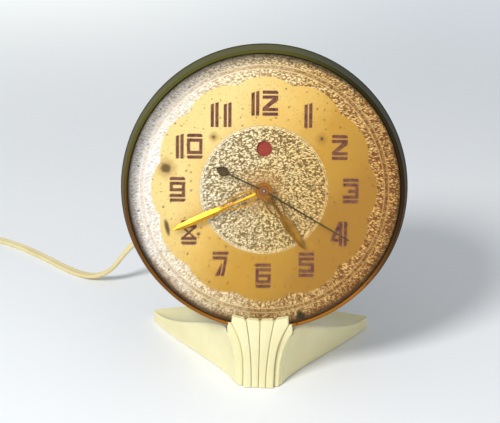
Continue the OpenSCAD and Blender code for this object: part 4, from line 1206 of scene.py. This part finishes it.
def all_finishes(effects: Effects) -> dict[str, Material]:
    """Builds one material for each of the record's slots.

    Args:
        effects: The shared effects.

    Returns:
        The materials by slot.
    """
    out_of_dial = tuple(HEAD.point(0, 0, 1) - HEAD.point(0, 0, 0))
    recipes = {
        "ivory_plastic": MouldingFinish(
            "ivory_moulding",
            "ebe4b6",
            "ddd19c",
            roughness=0.36,
            soft=0.25,
            dust="c9c19a",
            dust_share=0.2,
        ),
        "green_felt": FeltFinish(),
        "steel": MetalFinish("bright_steel", "b9bcc0", "7d7a74", roughness=0.3, speck_tone="5a3a20"),
        "aged_brass": BezelBrass(),
        "crystal_glass": ClearGlass(),
        "dark_plastic": MouldingFinish(
            "brown_phenolic", "3a261b", "20140f", roughness=0.38, dust_share=0.35, skin=0.4
        ),
        "dial_silver": SilveredDial(),
        "dial_gold": GiltRing(),
        "numeral_enamel": PaintFinish("maroon_enamel", "582826", "a8764c", roughness=0.55, chips=0.6),
        "signal_red": PaintFinish("signal_red", "9c3a2c", "7c3024", roughness=0.55, chips=0.1),
        "hand_gilt": MetalFinish(
            "gilt_hand", "dfa42e", "8c5a10", tarnish=0.65, roughness=0.3, specks=0.35, hub=4.75
        ),
        "hand_bronze": MetalFinish(
            "browned_hand", "a9782c", "5b3c14", tarnish=0.7, roughness=0.36, specks=0.3, hub=4.2
        ),
        "hand_dark": PaintFinish(
            "dark_lacquer", "3a2814", "6b5a2c", roughness=0.45, chips=0.35, hub=2.6
        ),
        "movement_brass": MetalFinish("movement_brass", "d5ae5c", "96702e", tarnish=0.5, roughness=0.3),
        "laminations": LayeredFinish(
            "iron_laminations", "5a5856", "1c1a18", out_of_dial, 0.0006, 0.45, 0.7
        ),
        "copper_winding": LayeredFinish(
            "wound_copper", "a85a2a", "3a160a", (1.0, 0.0, 0.0), 0.00022, 0.35, 0.4
        ),
        "ivory_rubber": MouldingFinish(
            "cord_covering", "e6d9a6", "cfb978", roughness=0.5, soft=0.1, specks=0.15, dust_share=0.2
        ),
        "lead_rubber": MouldingFinish("lead_covering", "2a2724", "171513", roughness=0.55),
        "tie_paper": MouldingFinish("tie_paper", "b79d73", "8f764f", roughness=0.8, skin=0.6),
    }
    return {slot: recipe.build(effects) for slot, recipe in recipes.items()}


# Stage


@dataclass(frozen=True)
class Viewpoint:
    """The photograph's camera, from its fitted place, aim and focal length."""

    distance: float = 650.0
    elevation: float = 21.5
    roll: float = 1.4
    focal: float = 1216.5
    target: Triple = (0.0, 0.0, 103.4)
    target_pixel: tuple[float, float] = (264.0, 189.7)
    image: tuple[int, int] = (500, 423)
    sensor: float = 36.0
    clip: tuple[float, float] = (0.05, 20.0)
    rounds: int = 50

    def build(self) -> Thing:
        """Makes the scene's camera.

        Returns:
            The camera.
        """
        lean, roll = math.radians(self.elevation), math.radians(self.roll)
        back = Vector((0.0, -math.cos(lean), math.sin(lean)))
        u = (self.target_pixel[0] - self.image[0] / 2) / self.focal
        v = (self.target_pixel[1] - self.image[1] / 2) / self.focal
        ahead = -back
        for _ in range(self.rounds):
            right = ahead.cross(Vector((0, 0, 1))).normalized()
            down = ahead.cross(right)
            level = (right, down)
            right = math.cos(roll) * level[0] - math.sin(roll) * level[1]
            down = math.sin(roll) * level[0] + math.cos(roll) * level[1]
            ahead = (-back * math.sqrt(1 + u * u + v * v) - (u * right + v * down)).normalized()
        data = bpy.data.cameras.new("photo_camera")
        data.sensor_width = self.sensor
        data.lens = self.sensor * self.focal / self.image[0]
        data.clip_start, data.clip_end = self.clip
        made = bpy.data.objects.new("photo_camera", data)
        bpy.context.scene.collection.objects.link(made)
        axes = np.eye(4)
        axes[:3, 0], axes[:3, 1], axes[:3, 2] = right, -down, -ahead
        axes[:3, 3] = (Vector(self.target) + back * self.distance) * MM
        made.matrix_world = Matrix(axes.tolist())
        bpy.context.scene.camera = made
        return made


@dataclass
class Studio:
    """The pale floor, the pale surroundings and the soft lights."""

    floor_half: float = 4.0
    floor_tone: str = "f4f6f7"
    backdrop_lit_and_shaded: tuple[str, str] = ("fbffff", "d4dae0")
    sky_tone: str = "eef2f6"
    sky_light: float = 0.5
    far_from: tuple[float, float] = (0.3, 1.1)
    aim: Triple = (0.0, 0.0, 0.09)
    lamps: tuple[tuple[str, Triple, float, float], ...] = (
        ("key", (-0.6, -0.82, 0.96), 0.36, 14.3),
        ("fill", (0.75, -0.8, 0.5), 0.9, 1.6),
    )

    def build(self) -> None:
        """Makes the floor, the surroundings and the lamps."""
        scene = bpy.context.scene
        scene.view_settings.view_transform = "Standard"
        self._sky(scene)
        self._floor()
        for name, place, size, power in self.lamps:
            data = bpy.data.lights.new(name, "AREA")
            data.shape, data.size, data.energy = "DISK", size, power
            lamp = bpy.data.objects.new(name, data)
            scene.collection.objects.link(lamp)
            lamp.location = place
            aim = Vector(self.aim) - Vector(place)
            lamp.rotation_mode = "QUATERNION"
            lamp.rotation_quaternion = aim.to_track_quat("-Z", "Y")

    @staticmethod
    def _seen(desk: Desk) -> Socket:
        """One for rays that only look: from the camera, off gloss or through glass.

        Args:
            desk: The shader's desk.

        Returns:
            One or zero.
        """
        path = desk.add("LightPath")
        looks = (path.outputs[f"Is {kind} Ray"] for kind in ("Camera", "Glossy", "Transmission"))
        first, second, third = looks
        return desk.math("ADD", desk.math("ADD", first, second, clamp=True), third, clamp=True)

    def _sky(self, scene: bpy.types.Scene) -> None:
        """Pale surroundings that light the clock softly.

        Args:
            scene: The scene that it lights.
        """
        world = bpy.data.worlds.new("pale_room")
        world.use_nodes = True
        world.node_tree.nodes.clear()
        scene.world = world
        desk = Desk(world.node_tree)
        strength = desk.lerp(self._seen(desk), self.sky_light, 1.0)
        light = desk.add("Background", {0: tone(self.sky_tone), 1: strength})
        desk.put(desk.add("OutputWorld").inputs[0], light.outputs[0])

    def _floor(self) -> None:
        """A wide pale floor that keeps the clock's shadow, and far off a pale backdrop with painted
        shade toward the right.
        """
        signs = ((-1, -1), (1, -1), (1, 1), (-1, 1))
        corners = np.array([(x * self.floor_half, y * self.floor_half, 0) for x, y in signs])
        floor = raw_object("floor", Form(corners, [(0, 1, 2, 3)]))
        desk = Surface("pale_table")
        place = desk.here()
        cloud = desk.noise(place, 6.0, 3.0).outputs[0]
        colour = desk.lay(tone(self.floor_tone), "e9eef4", cloud, 0.25)
        near = desk.close(Base_Color=colour, Roughness=0.75, Specular_IOR_Level=0.2)
        away = desk.vector("LENGTH", place).outputs["Value"]
        # Painted shade: the far backdrop greys from the left toward the right
        turn = desk.mask(desk.ratio(desk.parts(place)[0], away), -0.3, 0.3)
        backdrop_with_shade = desk.lay(tone(self.backdrop_lit_and_shaded[0]), self.backdrop_lit_and_shaded[1], turn)
        pale = desk.add("Emission", {0: backdrop_with_shade, 1: 1.0})
        far = desk.times(desk.mask(away, *self.far_from), self._seen(desk))
        lit = desk.end.links[0].from_socket
        desk.put(desk.end, desk.add("MixShader", {0: far, 1: lit, 2: pale.outputs[0]}).outputs[0])
        floor.data.materials.append(near)


# Cord and plug


@dataclass
class MainsCord:
    """The flat two core cord: sleeve to table, across it, into its coil and to its plug."""

    width: float = 5.4
    thickness: float = 2.7
    web: float = 1.0
    coil_outer: float = 35.0
    coil_step: float = 5.9
    coil_rise: float = 3.2
    coil_lift: float = 0.5
    coil_turns: float = 8.25
    layer_turns: int = 2
    rings_a_turn: int = 48
    coil_climb: float = 0.5
    straight_out: float = 10.0
    sleeve_end: float = -68.0
    route: tuple[Triple, ...] = (
        (-39.5, 75.2, 47.2),
        (-44.4, 83.9, 44.2),
        (-52.6, 90.2, 41.3),
        (-63, 93, 37.8),
        (-73.4, 93, 33.4),
        (-82, 92, 26.8),
        (-88, 91.4, 19.8),
        (-93, 91.6, 12.8),
        (-98.5, 93, 7.4),
        (-106, 96, 3.2),
        (-114.5, 100.4, 1.55),
        (-123, 106, 1.4),
        (-133.6, 115.4, 1.35),
        (-146, 127, 1.35),
        (-160, 139, 1.35),
        (-175, 149, 1.35),
        (-191, 157, 1.35),
        (-204, 161.8, 1.65),
        (-213.2, 163, 1.85),
        (-218.6, 163, 1.85),
    )
    tail_drop: float = 36.0
    plug_level: float = 7.5

    def exit_point(self) -> np.ndarray:
        """Where the cord leaves the sleeve, in millimetres."""
        return HEAD.point(*CORD_EXIT, self.sleeve_end)

    def _coil(self) -> np.ndarray:
        """Points round the coil, layer by layer.

        Returns:
            The points, in millimetres.
        """
        count = round(self.coil_turns * self.rings_a_turn)
        rows = []
        for i in range(count + 1):
            u = i / self.rings_a_turn
            layer = min(int(u // self.layer_turns), 3)
            s = u - layer * self.layer_turns
            inward = s if layer % 2 == 0 else self.layer_turns - s
            radius = self.coil_outer - self.coil_step * inward
            level = 0.0
            for k in (1, 2, 3):
                begun = u - k * self.layer_turns + self.coil_climb / 2
                t = min(1.0, max(0.0, begun / self.coil_climb))
                level += t * t * (3 - 2 * t)
            a = math.radians(90 + 360 * u)
            x, y = COIL_CENTRE[0] + radius * math.cos(a), COIL_CENTRE[1] + radius * math.sin(a)
            rows.append((x, y, self.coil_lift + self.thickness / 2 + self.coil_rise * level))
        return np.array(rows)

    def path(self) -> np.ndarray:
        """The whole centreline, in millimetres.

        Returns:
            The points, from the sleeve to the plug.
        """
        lean = math.radians(HEAD.tilt)
        out = np.array((0.0, math.cos(lean), -math.sin(lean)))
        start = self.exit_point()
        lead = eased(np.array([start, start + self.straight_out * out, *self.route], float))
        coil = self._coil()
        x, y, z = coil[-1]
        drop, level = self.tail_drop / 4, self.plug_level
        y -= self.width
        heights = (z, z, (z + level) / 2, level, level)
        tail = eased(np.array([(x, y - k * drop, height) for k, height in enumerate(heights)]))
        return np.vstack([lead, coil, tail])

    def _section(self, steps: int = 9) -> Pairs:
        """The cord's outline: two round cores with a groove between them.

        Args:
            steps: Half of each core's points.

        Returns:
            The points, in millimetres.
        """
        round_r = self.thickness / 2
        middle = self.width / 2 - round_r
        half = self.web / 2
        reach = math.degrees(math.asin(half / round_r))
        ends = 180 - reach - 14
        right = [
            (middle + round_r * math.cos(math.radians(a)), round_r * math.sin(math.radians(a)))
            for a in np.linspace(-ends, ends, steps * 2 + 1)
        ]
        return [*right, *[(-x, -y) for x, y in right]]

    def build(self, finish: Material) -> Thing:
        """Args:
            finish: Its material.

        Returns:
            The cord.
        """
        points = self.path()
        form = sweep(points, self._section(), (0.0, 0.0, 1.0))
        cord = show(raw_object("mains_cord", form), finish, "case", 50.0)
        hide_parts("cord_lead", "cord_coil", "cord_tail")
        return cord


# Head


@dataclass
class HeadShell:
    """The bezel and its domed glass."""

    opening_r: float = 72.0
    nose_w: float = 2.4
    nose_h: float = 1.2
    sheet: float = 0.9
    glass_back: float = 4.498
    glass_t: float = 1.5
    glass_rise: float = 3.4
    glass_r: float = 73.47
    lip_t: float = 2.2
    lip_steps: int = 13
    bead_turn: float = 241.0
    bead_step: float = 15.0
    rim_gap: float = 0.4

    @property
    def glass_front(self) -> float:
        """Height of the glass's flat rim at its front."""
        return self.glass_back + self.glass_t

    def bezel_outline(self) -> Pairs:
        """The bezel's section: rounded lip, flaring skirt and rolled edge.

        Returns:
            Radius and height of its points, in millimetres.
        """
        lip_r = self.nose_w / 2
        nose_r = self.opening_r + self.nose_w
        nose_top = self.glass_front + self.lip_t - self.nose_h
        bead_a = math.degrees(math.acos(self.sheet / 2 / BEAD_R))
        bead_middle = BEZEL_R - BEAD_R
        skirt_r = bead_middle + self.sheet / 2
        skirt_end = -SKIRT + BEAD_R * math.sin(math.radians(bead_a))
        rise = (nose_top - self.glass_front) / (nose_top - skirt_end)
        inner = nose_r + (skirt_r - nose_r) * rise - self.sheet
        lip = [
            (self.opening_r + lip_r + lip_r * math.cos(a), nose_top + self.nose_h * math.sin(a))
            for a in np.linspace(math.pi, 0, self.lip_steps)
        ]
        slope = [
            (nose_r + (skirt_r - nose_r) * t, nose_top + (skirt_end - nose_top) * t)
            for t in (0.25, 0.5, 0.75)
        ]
        bead = [
            (bead_middle + BEAD_R * math.cos(a), -SKIRT + BEAD_R * math.sin(a))
            for a in map(math.radians, np.arange(bead_a, bead_a - self.bead_turn, -self.bead_step))
        ]
        inside = [(skirt_r - self.sheet, skirt_end), (inner, self.glass_front)]
        return [(self.opening_r, self.glass_front), *lip, *slope, *bead, *inside]

    def glass_outline(self, steps: int = 22) -> Pairs:
        """The glass's section: domed inside its flat rim.

        Args:
            steps: Points from the middle to the rim.

        Returns:
            Radius and height of its points, in millimetres.
        """
        dome_r = self.opening_r - self.rim_gap

        def dome(r: float) -> float:
            """Rise of the glass at one radius."""
            return self.glass_rise * (1 - (r / dome_r) ** 2)

        radii = [dome_r * i / steps for i in range(steps + 1)]
        return [
            *[(r, self.glass_back + dome(r)) for r in radii],
            (self.glass_r, self.glass_back),
            (self.glass_r, self.glass_front),
            *[(r, self.glass_front + dome(r)) for r in reversed(radii)],
        ]

    def build(self, finishes: dict[str, Material]) -> None:
        """Makes the pieces of the shell.

        Args:
            finishes: The materials by slot.
        """
        bezel = raw_object("bezel_ring", HEAD.place(lathe(self.bezel_outline(), 320)))
        show(bezel, finishes["aged_brass"], "case")
        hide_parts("bezel")
        glass = raw_object("dome_glass", HEAD.place(lathe(self.glass_outline(), 192)))
        show(glass, finishes["crystal_glass"], "case")
        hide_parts("crystal")


# Pieces inside the head and at its back


@dataclass
class Winding:
    """The motor coil: a block of fine wire, wound turn beside turn."""

    middle: Triple = (0.0, -42.1, -30.8)
    length: float = 25.0
    inner: float = 4.95
    outer: float = 10.45
    corner: float = 5.5
    wire: float = 0.44
    groove: float = 0.3

    def build(self, finish: Material) -> None:
        """Makes the winding.

        Args:
            finish: Its material.
        """
        turns = round(self.length / self.wire)
        half = self.length / 2
        rings = []
        for k, x in enumerate(np.linspace(-half, half, turns * 4 + 1)):
            dip = self.wire * self.groove * (1 - abs(math.sin(math.pi * k / 4)))
            rings.append((x, rounded(self.outer - dip, self.outer - dip, self.corner - dip)))
        rings += [(x, rounded(self.inner, self.inner, 0.3)) for x in (half, -half)]
        at = self.middle
        grid = [[(at[0] + x, at[1] + y, at[2] + z) for y, z in ring] for x, ring in rings]
        form = HEAD.place(loft(grid, closed=True))
        winding = show(raw_object("coil_turns", form), finish, "case", 60.0)
        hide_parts("field_winding")


@dataclass
class Leads:
    """The two insulated wires from the cord's sleeve to the motor coil."""

    wall: float = -42.6
    core: float = -30.8
    low: float = -49.5
    end: float = -13.3
    radius: float = 0.9

    def route(self, side: int) -> np.ndarray:
        """One wire's points in the head's axes, in millimetres.

        Args:
            side: Which wire: -1 for the lower one, 1 for the upper one.

        Returns:
            The points.
        """
        x, y = CORD_EXIT
        rows = [
            (x + side * 1.4, y, self.wall + 1.6),
            (x + side * 1.4, y, self.wall + 3.4),
            (x + 2 + side * 1.4, y - 4.6, self.wall + 6),
            (-30 + side, -44 + side, self.core - 3),
        ]
        ends = (-25.0, self.end - 3, self.end)
        rows += [(at, self.low + side * 1.4, self.core + side * 1.2) for at in ends]
        return eased(np.array(rows), 3)

    def build(self, finish: Material) -> None:
        """Makes both wires.

        Args:
            finish: Its material.
        """
        section = rounded(self.radius, self.radius, self.radius * 0.98, 4)
        for side, name in ((-1, "lead_wire_low"), (1, "lead_wire_high")):
            form = HEAD.place(sweep(self.route(side), section, (0.0, 1.0, 0.3)))
            wire = show(raw_object(name, form), finish, "case", 50.0)
            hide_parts("lead_wires")


@dataclass
class Sleeve:
    """The ribbed rubber sleeve that eases the cord out of the cover."""

    wall: tuple[float, float] = (-44.0, -42.6)
    neck: float = 4.1
    collar: float = 5.5
    length: float = 24.0
    ends: tuple[float, float] = (4.8, 3.3)
    ribs: int = 8

    def outline(self) -> Pairs:
        """Radius and height of its circles, from the free end inward.

        Returns:
            The points, in millimetres.
        """
        outside, inside = self.wall
        far, near = outside - self.length, outside - 2.0
        rows = [(self.ends[1] - 0.5, far), (self.ends[1], far + 0.5)]
        pitch = (near - far - 2) / self.ribs
        for k in range(self.ribs):
            for share, groove in ((0.12, 0.55), (0.3, 0.55), (0.45, 0.0), (0.95, 0.0)):
                at = far + 1 + (k + share) * pitch
                size = self.ends[1] + (self.ends[0] - self.ends[1]) * (at - far) / (near - far)
                rows.append((size - groove, at))
        collar, neck = self.collar, self.neck
        rows += [(self.ends[0], near), (collar, near), (collar + 0.3, near + 0.4)]
        rows += [(collar + 0.3, outside - 0.3), (collar, outside - 0.02), (neck, outside - 0.02)]
        rows += [(neck, inside + 0.05), (collar - 0.2, inside + 0.05), (collar, inside + 0.4)]
        return [*rows, (collar, inside + 1.2), (collar - 0.5, inside + 1.6)]

    def build(self, finish: Material) -> None:
        """Makes the sleeve.

        Args:
            finish: Its material.
        """
        form = HEAD.place(turned(self.outline(), 72, CORD_EXIT))
        sleeve = show(raw_object("ribbed_sleeve", form), finish, "case", 40.0)
        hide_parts("cord_sleeve")


@dataclass
class CoilTie:
    """The woven tape round the coiled cord."""

    angle: float = 330.0
    reach: tuple[float, float] = (21.767, 36.433)
    top: float = 13.5
    width: float = 4.0
    thickness: float = 0.4
    corner: float = 0.9
    weave: float = 0.06

    def build(self, finish: Material) -> None:
        """Makes the tape as one closed band.

        Args:
            finish: Its material.
        """
        half_w, half_h = (self.reach[1] - self.reach[0]) / 2, self.top / 2
        middle = (self.reach[0] + self.reach[1]) / 2
        turn = math.radians(self.angle)
        out = np.array((math.cos(turn), math.sin(turn), 0))
        along = np.array((-math.sin(turn), math.cos(turn), 0))
        insets = (0.0, self.thickness)
        bands = [rounded(half_w - t, half_h - t, self.corner - t, 8) for t in insets]
        places = np.linspace(-1, 1, 11)
        strip = [
            (which, y * self.width / 2, deep * (k % 2))
            for which, deep, row in ((0, self.weave, places), (1, -self.weave, places[::-1]))
            for k, y in enumerate(row)
        ]
        rings = []
        for outer, inner in zip(*bands):
            ring = []
            for which, across, groove in strip:
                flat = (outer, inner)[which] + np.sign(inner - outer) * groove
                point = out * (middle + flat[0]) + along * across
                x, y = COIL_CENTRE[0] + point[0], COIL_CENTRE[1] + point[1]
                ring.append((x, y, half_h + flat[1]))
            rings.append(ring)
        form = loft(rings, closed=True)
        tie = show(raw_object("woven_tie", form), finish, "case", 40.0)
        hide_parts("cord_tie")


# Base


@dataclass
class Base:
    """The moulded base: two swept wings behind six flutes, on a felt pad."""

    width: float = 127.0
    front: float = 31.688
    rear: float = 46.0
    saddle: float = 26.4
    tip: float = 6.5
    rear_middle: float = 12.0
    lift: float = 0.4
    wall: float = 3.2
    ridge: float = 1.6
    dish: float = 0.11
    lean: float = 5.3
    corner: tuple[float, float] = (-1.1, -0.5)
    wing_start: Rows = ((12.6, 4.2, 4.6), (17.6, 20.7, 7.6))
    wing_end: Rows = ((-13.0, -27.0, -2.4), (0.0, -3.4, 0.0))
    flute_w: float = 3.87
    flute_flare: float = 3.7
    flute_curve: float = 2.2
    flute_draw: float = 0.12
    lean_from: float = 0.6
    lean_curve: float = 1.6
    middle_flutes: Triple = (3.0, 0.0, 2.3)
    outer_flutes: Triple = (-2.4, 2.0, 0.7)
    flute_tip: float = 40.055
    flute_depth: float = 7.2
    grooves: tuple[float, float] = (0.5, 0.75)
    slit: tuple[float, float] = (0.14, 1.5)
    outer_edges: Rows = ((8.3, 8.6, 3.5, 15.4, 38.055), (11.41, 11.5, 3.2, 17.6, 34.055))
    top_r: float = 63.1
    middle_block: tuple[float, float] = (14.5, 14.0)
    hollow: tuple[float, float] = (23.0, 30.0)
    notch: float = 1.9
    nose: Triple = (74.4, 6.998, 8.198)
    cover_r: float = 74.3
    clearance: float = 0.1
    screw_x: float = 9.0
    saddle_depth: float = 19.0
    screw_holes: tuple[float, float] = (1.8, 3.6)
    web: float = 6.0
    felt_t: float = 1.0
    felt_eases: tuple[float, float] = (0.25, 0.2)
    pocket: float = 1.4
    slot_r: float = 4.2
    slot_y: tuple[float, float] = (-14.0, -2.0)
    steps: int = 40

    def half_line(self, steps: int) -> list[tuple[float, float, float, float]]:
        """Stations along the right wing's foot: x, y, height and lean, in millimetres.

        Args:
            steps: Stations between its ends.

        Returns:
            The stations, from the middle outward.
        """
        start = [(x, y - self.front, self.saddle + z) for x, y, z in self.wing_start]
        end = [(self.width / 2 + x, self.rear + y, self.tip + z) for x, y, z in self.wing_end]
        line = start + end
        x, y, z = line[0]
        rows = [(x + self.corner[0], y + self.corner[1], z, self.lean)]
        for t in np.linspace(0, 1, steps + 1):
            x, y, z = bezier(line, t)
            rows.append((x, y, z, self.lean * (1 - t) ** 3))
        return rows

    def outline(self, inset: float) -> Pairs:
        """The foot seen from above, moved in by an inset.

        Args:
            inset: How far, in millimetres.

        Returns:
            The points, in millimetres.
        """
        edge = [
            (x - inset * 0.8, y + inset)
            for x, y, _, _ in self.half_line(self.steps)
            if x < self.width / 2 - 2 * inset
        ]
        rear = [(side * (self.width / 2 - 3 * inset), self.rear - inset) for side in (1, -1)]
        return [*edge, *rear, *[(-x, y) for x, y in reversed(edge)]]

    def _rear_height(self, x: float) -> float:
        """Height of the wings' rear edge."""
        return self.tip + (self.rear_middle - self.tip) * (1 - (abs(x) * 2 / self.width) ** 2)

    def _section(self, x: float, y: float, z: float, inset: float, floor: float) -> Pairs:
        """The wings' section at one station, as y and z.

        Args:
            x: The station's place across.
            y: Its front.
            z: Its height.
            inset: How far inside the outer skin.
            floor: Height of its foot.

        Returns:
            The points, in millimetres.
        """
        front, back = y + inset, self.rear - inset
        high, low = z - inset, self._rear_height(x) - inset
        sink = self.dish * (back - front)
        r = min(self.ridge, (back - front) / 4)
        turns = np.radians((0, 22.5, 45, 67.5, 90))
        rows = [(front, floor + (high - r - floor) * k / 8) for k in range(9)]
        rows += [(front + r - r * math.cos(a), high - r + r * math.sin(a)) for a in turns[1:]]
        for t in np.linspace(0, 1, 15)[1:-1]:
            top = high + (low - high) * t - sink * math.sin(math.pi * t)
            rows.append((front + r + (back - front - 2 * r) * t, top))
        rows += [(back - r + r * math.sin(a), low - r + r * math.cos(a)) for a in turns]
        return [*rows, (back, floor)]

    def _wings(self, inset: float, floor: float, steps: int) -> Form:
        """Both wings as one skin from tip to tip.

        Args:
            inset: How far inside the outer skin, in millimetres.
            floor: Height of its foot.
            steps: Stations on each wing.

        Returns:
            The skin, in metres.
        """
        half = self.half_line(steps)
        stations = [(-x, y, z, -lean) for x, y, z, lean in reversed(half)] + half
        rings = []
        for x, y, z, lean in stations:
            if inset and abs(x) >= self.width / 2 - 2.2 * inset:
                continue
            section = self._section(x, y, z, inset, floor)
            rings.append([(x + lean * max(0.0, min(1.0, h / z)) ** 3, at, h) for at, h in section])
        return loft(rings)

    def _edge(self, j: int, z: float) -> float:
        """Where the edge between two flutes lies, at one height.

        Args:
            j: The edge's number, counted from the middle.
            z: The height in millimetres.

        Returns:
            Its place across, in millimetres.
        """
        t = z / self.flute_tip
        if abs(j) < 2:
            return j * (self.flute_w + self.flute_flare * t**self.flute_curve)
        half, gain, late, most, above = self.outer_edges[abs(j) - 2]
        most -= self.flute_draw * max(0.0, z - above)
        return math.copysign(min(half + gain * t**late, most), j)

    def _flute(self, j: int, more: float, step: float, lean: float) -> Form:
        """One flute with rounded edges: its added height, its step back and its lean.

        Args:
            j: The number of its left edge.
            more: Height above the flutes' tips.
            step: How far it stands back.
            lean: How far its top leans back.

        Returns:
            The flute, in metres.
        """
        rings = []
        top = self.flute_tip + more
        for z in np.linspace(self.lift, top, self.steps):
            a, b = self._edge(j, z), self._edge(j + 1, z)
            bent = max(0.0, (z / self.flute_tip - self.lean_from) / (1 - self.lean_from))
            y = step - self.front + lean * bent**self.lean_curve
            ca, cb = (self.grooves[0 if abs(k) < 2 else 1] for k in (j, j + 1))
            turns = np.radians(np.linspace(0, 90, 6))
            slit, deep, back = self.slit[0], y + self.slit[1], y + self.flute_depth
            left, right = a + slit, b - slit
            ring = [(a, deep + slit, z), (left, deep, z)]
            ring += [(left + ca - ca * math.cos(t), y + ca - ca * math.sin(t), z) for t in turns]
            ring += [(right - cb + cb * math.sin(t), y + cb - cb * math.cos(t), z) for t in turns]
            rings.append([*ring, (right, deep, z), (b, deep + slit, z), (b, back, z), (a, back, z)])
        return loft(rings)

    def _head_space(self) -> list[Form]:
        """What the head takes from the base.

        Returns:
            The cutters.
        """
        c, (nose_r, nose_top, lip) = self.clearance, self.nose
        low = -SKIRT - BEAD_R
        bead = [(BEZEL_R + c, low - c), (BEZEL_R + c, -SKIRT + BEAD_R)]
        nose = [(nose_r + c, nose_top), (nose_r + c, lip + c)]
        cover = [(self.cover_r + c, -120.0), (self.cover_r + c, -SKIRT)]
        return [HEAD.place(turned(rows, 320)) for rows in (bead + nose, cover)]

    def _arc(self) -> Form:
        """The cylinder along y that shapes the saddle's top.

        Returns:
            The cutter.
        """
        form = turned([(self.top_r, -self.front - 10), (self.top_r, FAR)], 256)
        x, y, z = form.points.T
        return Form(np.c_[x, z, HEAD.height * MM - y], form.faces)

    def _notches(self) -> list[Form]:
        """The small V cuts at the tops of the middle grooves.

        Returns:
            The cutters.
        """
        made = []
        reach = self.notch / math.sqrt(2)
        for j in (-1, 0, 1):
            x = self._edge(j, self.flute_tip)
            z = HEAD.height - math.sqrt(self.top_r**2 - x * x)
            plan = [(x - reach, z), (x, z - reach), (x + reach, z), (x, z + reach)]
            ends = (-self.front - 20, -self.front + 20)
            made.append(loft([[(across, y, up) for across, up in plan] for y in ends]))
        return made

    def _screw_holes(self) -> list[Form]:
        """Holes from below for the two screws that hold the head.

        Returns:
            The cutters.
        """
        made = []
        starts = (self.cover_r - 2, self.cover_r + self.web)
        for side in (-1, 1):
            for radius, start in zip(self.screw_holes, starts):
                hole = turned([(radius, start), (radius, 140.0)], 48)
                x, y, z = hole.points.T
                lying = np.c_[x + side * self.screw_x * MM, -z, y - self.saddle_depth * MM]
                made.append(HEAD.place(Form(lying, hole.faces)))
        return made

    def _moulding(self, finish: Material) -> None:
        """Makes the moulded base.

        Args:
            finish: Its material.
        """
        body = raw_object("fluted_base", prism(self.outline(0.3), self.lift, self.saddle + 8))
        half, back = self.middle_block
        carve(body, Cut.KEEP, block((-half, -FAR, -FAR), (half, back, FAR)))
        carve(body, Cut.JOIN, self._wings(0.0, self.lift, self.steps))
        flutes = [self._flute(j, *self.middle_flutes) for j in (-2, -1, 0, 1)]
        flutes += [self._flute(j, *self.outer_flutes) for j in (-3, 2)]
        carve(body, Cut.JOIN, *flutes)
        inside = raw_object("inside", self._wings(self.wall, -self.wall, self.steps))
        wide, deep = self.hollow
        carve(inside, Cut.AWAY, block((-wide, -FAR, -FAR), (wide, deep, FAR)))
        pocket = prism(self.outline(self.pocket), -self.felt_t, self.felt_t)
        cuts = [*self._head_space(), self._arc(), *self._notches(), *self._screw_holes(), pocket]
        carve(body, Cut.AWAY, inside, *cuts)
        show(body, finish, "case", 28.0)
        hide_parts("base")

    def _pad(self, finish: Material) -> None:
        """Makes the felt pad with its two slots and soft edges.

        Args:
            finish: Its material.
        """
        inset = self.pocket + self.clearance
        ease, low = self.felt_eases
        eases = ((ease, 0.0), (0.0, low), (0.0, self.felt_t - ease), (ease, self.felt_t))
        plan = np.array(self.outline(inset))
        middle = np.array([0.0, plan[:, 1].mean()])
        out = plan - middle
        reach = np.linalg.norm(out, axis=1)[:, None]
        rings = [
            np.c_[middle + out * (1 - ease / reach), np.full(len(plan), z)] for ease, z in eases
        ]
        pad = raw_object("felt_pad", loft(rings))
        for side in (-1, 1):
            hole = []
            for k, y in enumerate(self.slot_y[::-1]):
                for a in np.radians(np.linspace(180 * k, 180 * k + 180, 17)):
                    x = side * self.screw_x + self.slot_r * math.cos(a)
                    hole.append((x, y + self.slot_r * math.sin(a)))
            carve(pad, Cut.AWAY, prism(hole, -1.0, self.felt_t + 1))
        show(pad, finish, "case", 50.0)
        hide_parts("base_felt")
        x, y = plan.T
        area = abs(float(np.dot(x, np.roll(y, -1)) - np.dot(y, np.roll(x, -1)))) / 2
        area -= 2 * (math.pi * self.slot_r**2 + 2 * self.slot_r * (self.slot_y[1] - self.slot_y[0]))

    def build(self, finishes: dict[str, Material]) -> None:
        """Makes the moulding and its pad."""
        self._moulding(finishes["ivory_plastic"])
        self._pad(finishes["green_felt"])


def dress_frame(finishes: dict[str, Material]) -> None:
    """Gives every node of the frame its slot's material and smooth shading.

    Args:
        finishes: The materials by slot.
    """
    for part in frame["record"]["subparts"]:
        node = frame["nodes"][part["node"]]
        node.data.materials.clear()
        node.data.materials.append(finishes[part["material_slot"]])
        shade(node, 30.0)


def main() -> None:
    """Builds the clock's looks in order."""
    logging.basicConfig(level=logging.INFO, format="%(message)s")
    Viewpoint().build()
    finishes = all_finishes(Effects())
    CoilTie().build(finishes["tie_paper"])
    MainsCord().build(finishes["ivory_rubber"])
    dress_frame(finishes)
    Studio().build()
    HeadShell().build(finishes)
    Winding().build(finishes["copper_winding"])
    Leads().build(finishes["lead_rubber"])
    Sleeve().build(finishes["dark_plastic"])
    Base().build(finishes)


if __name__ == "__main__":
    main()
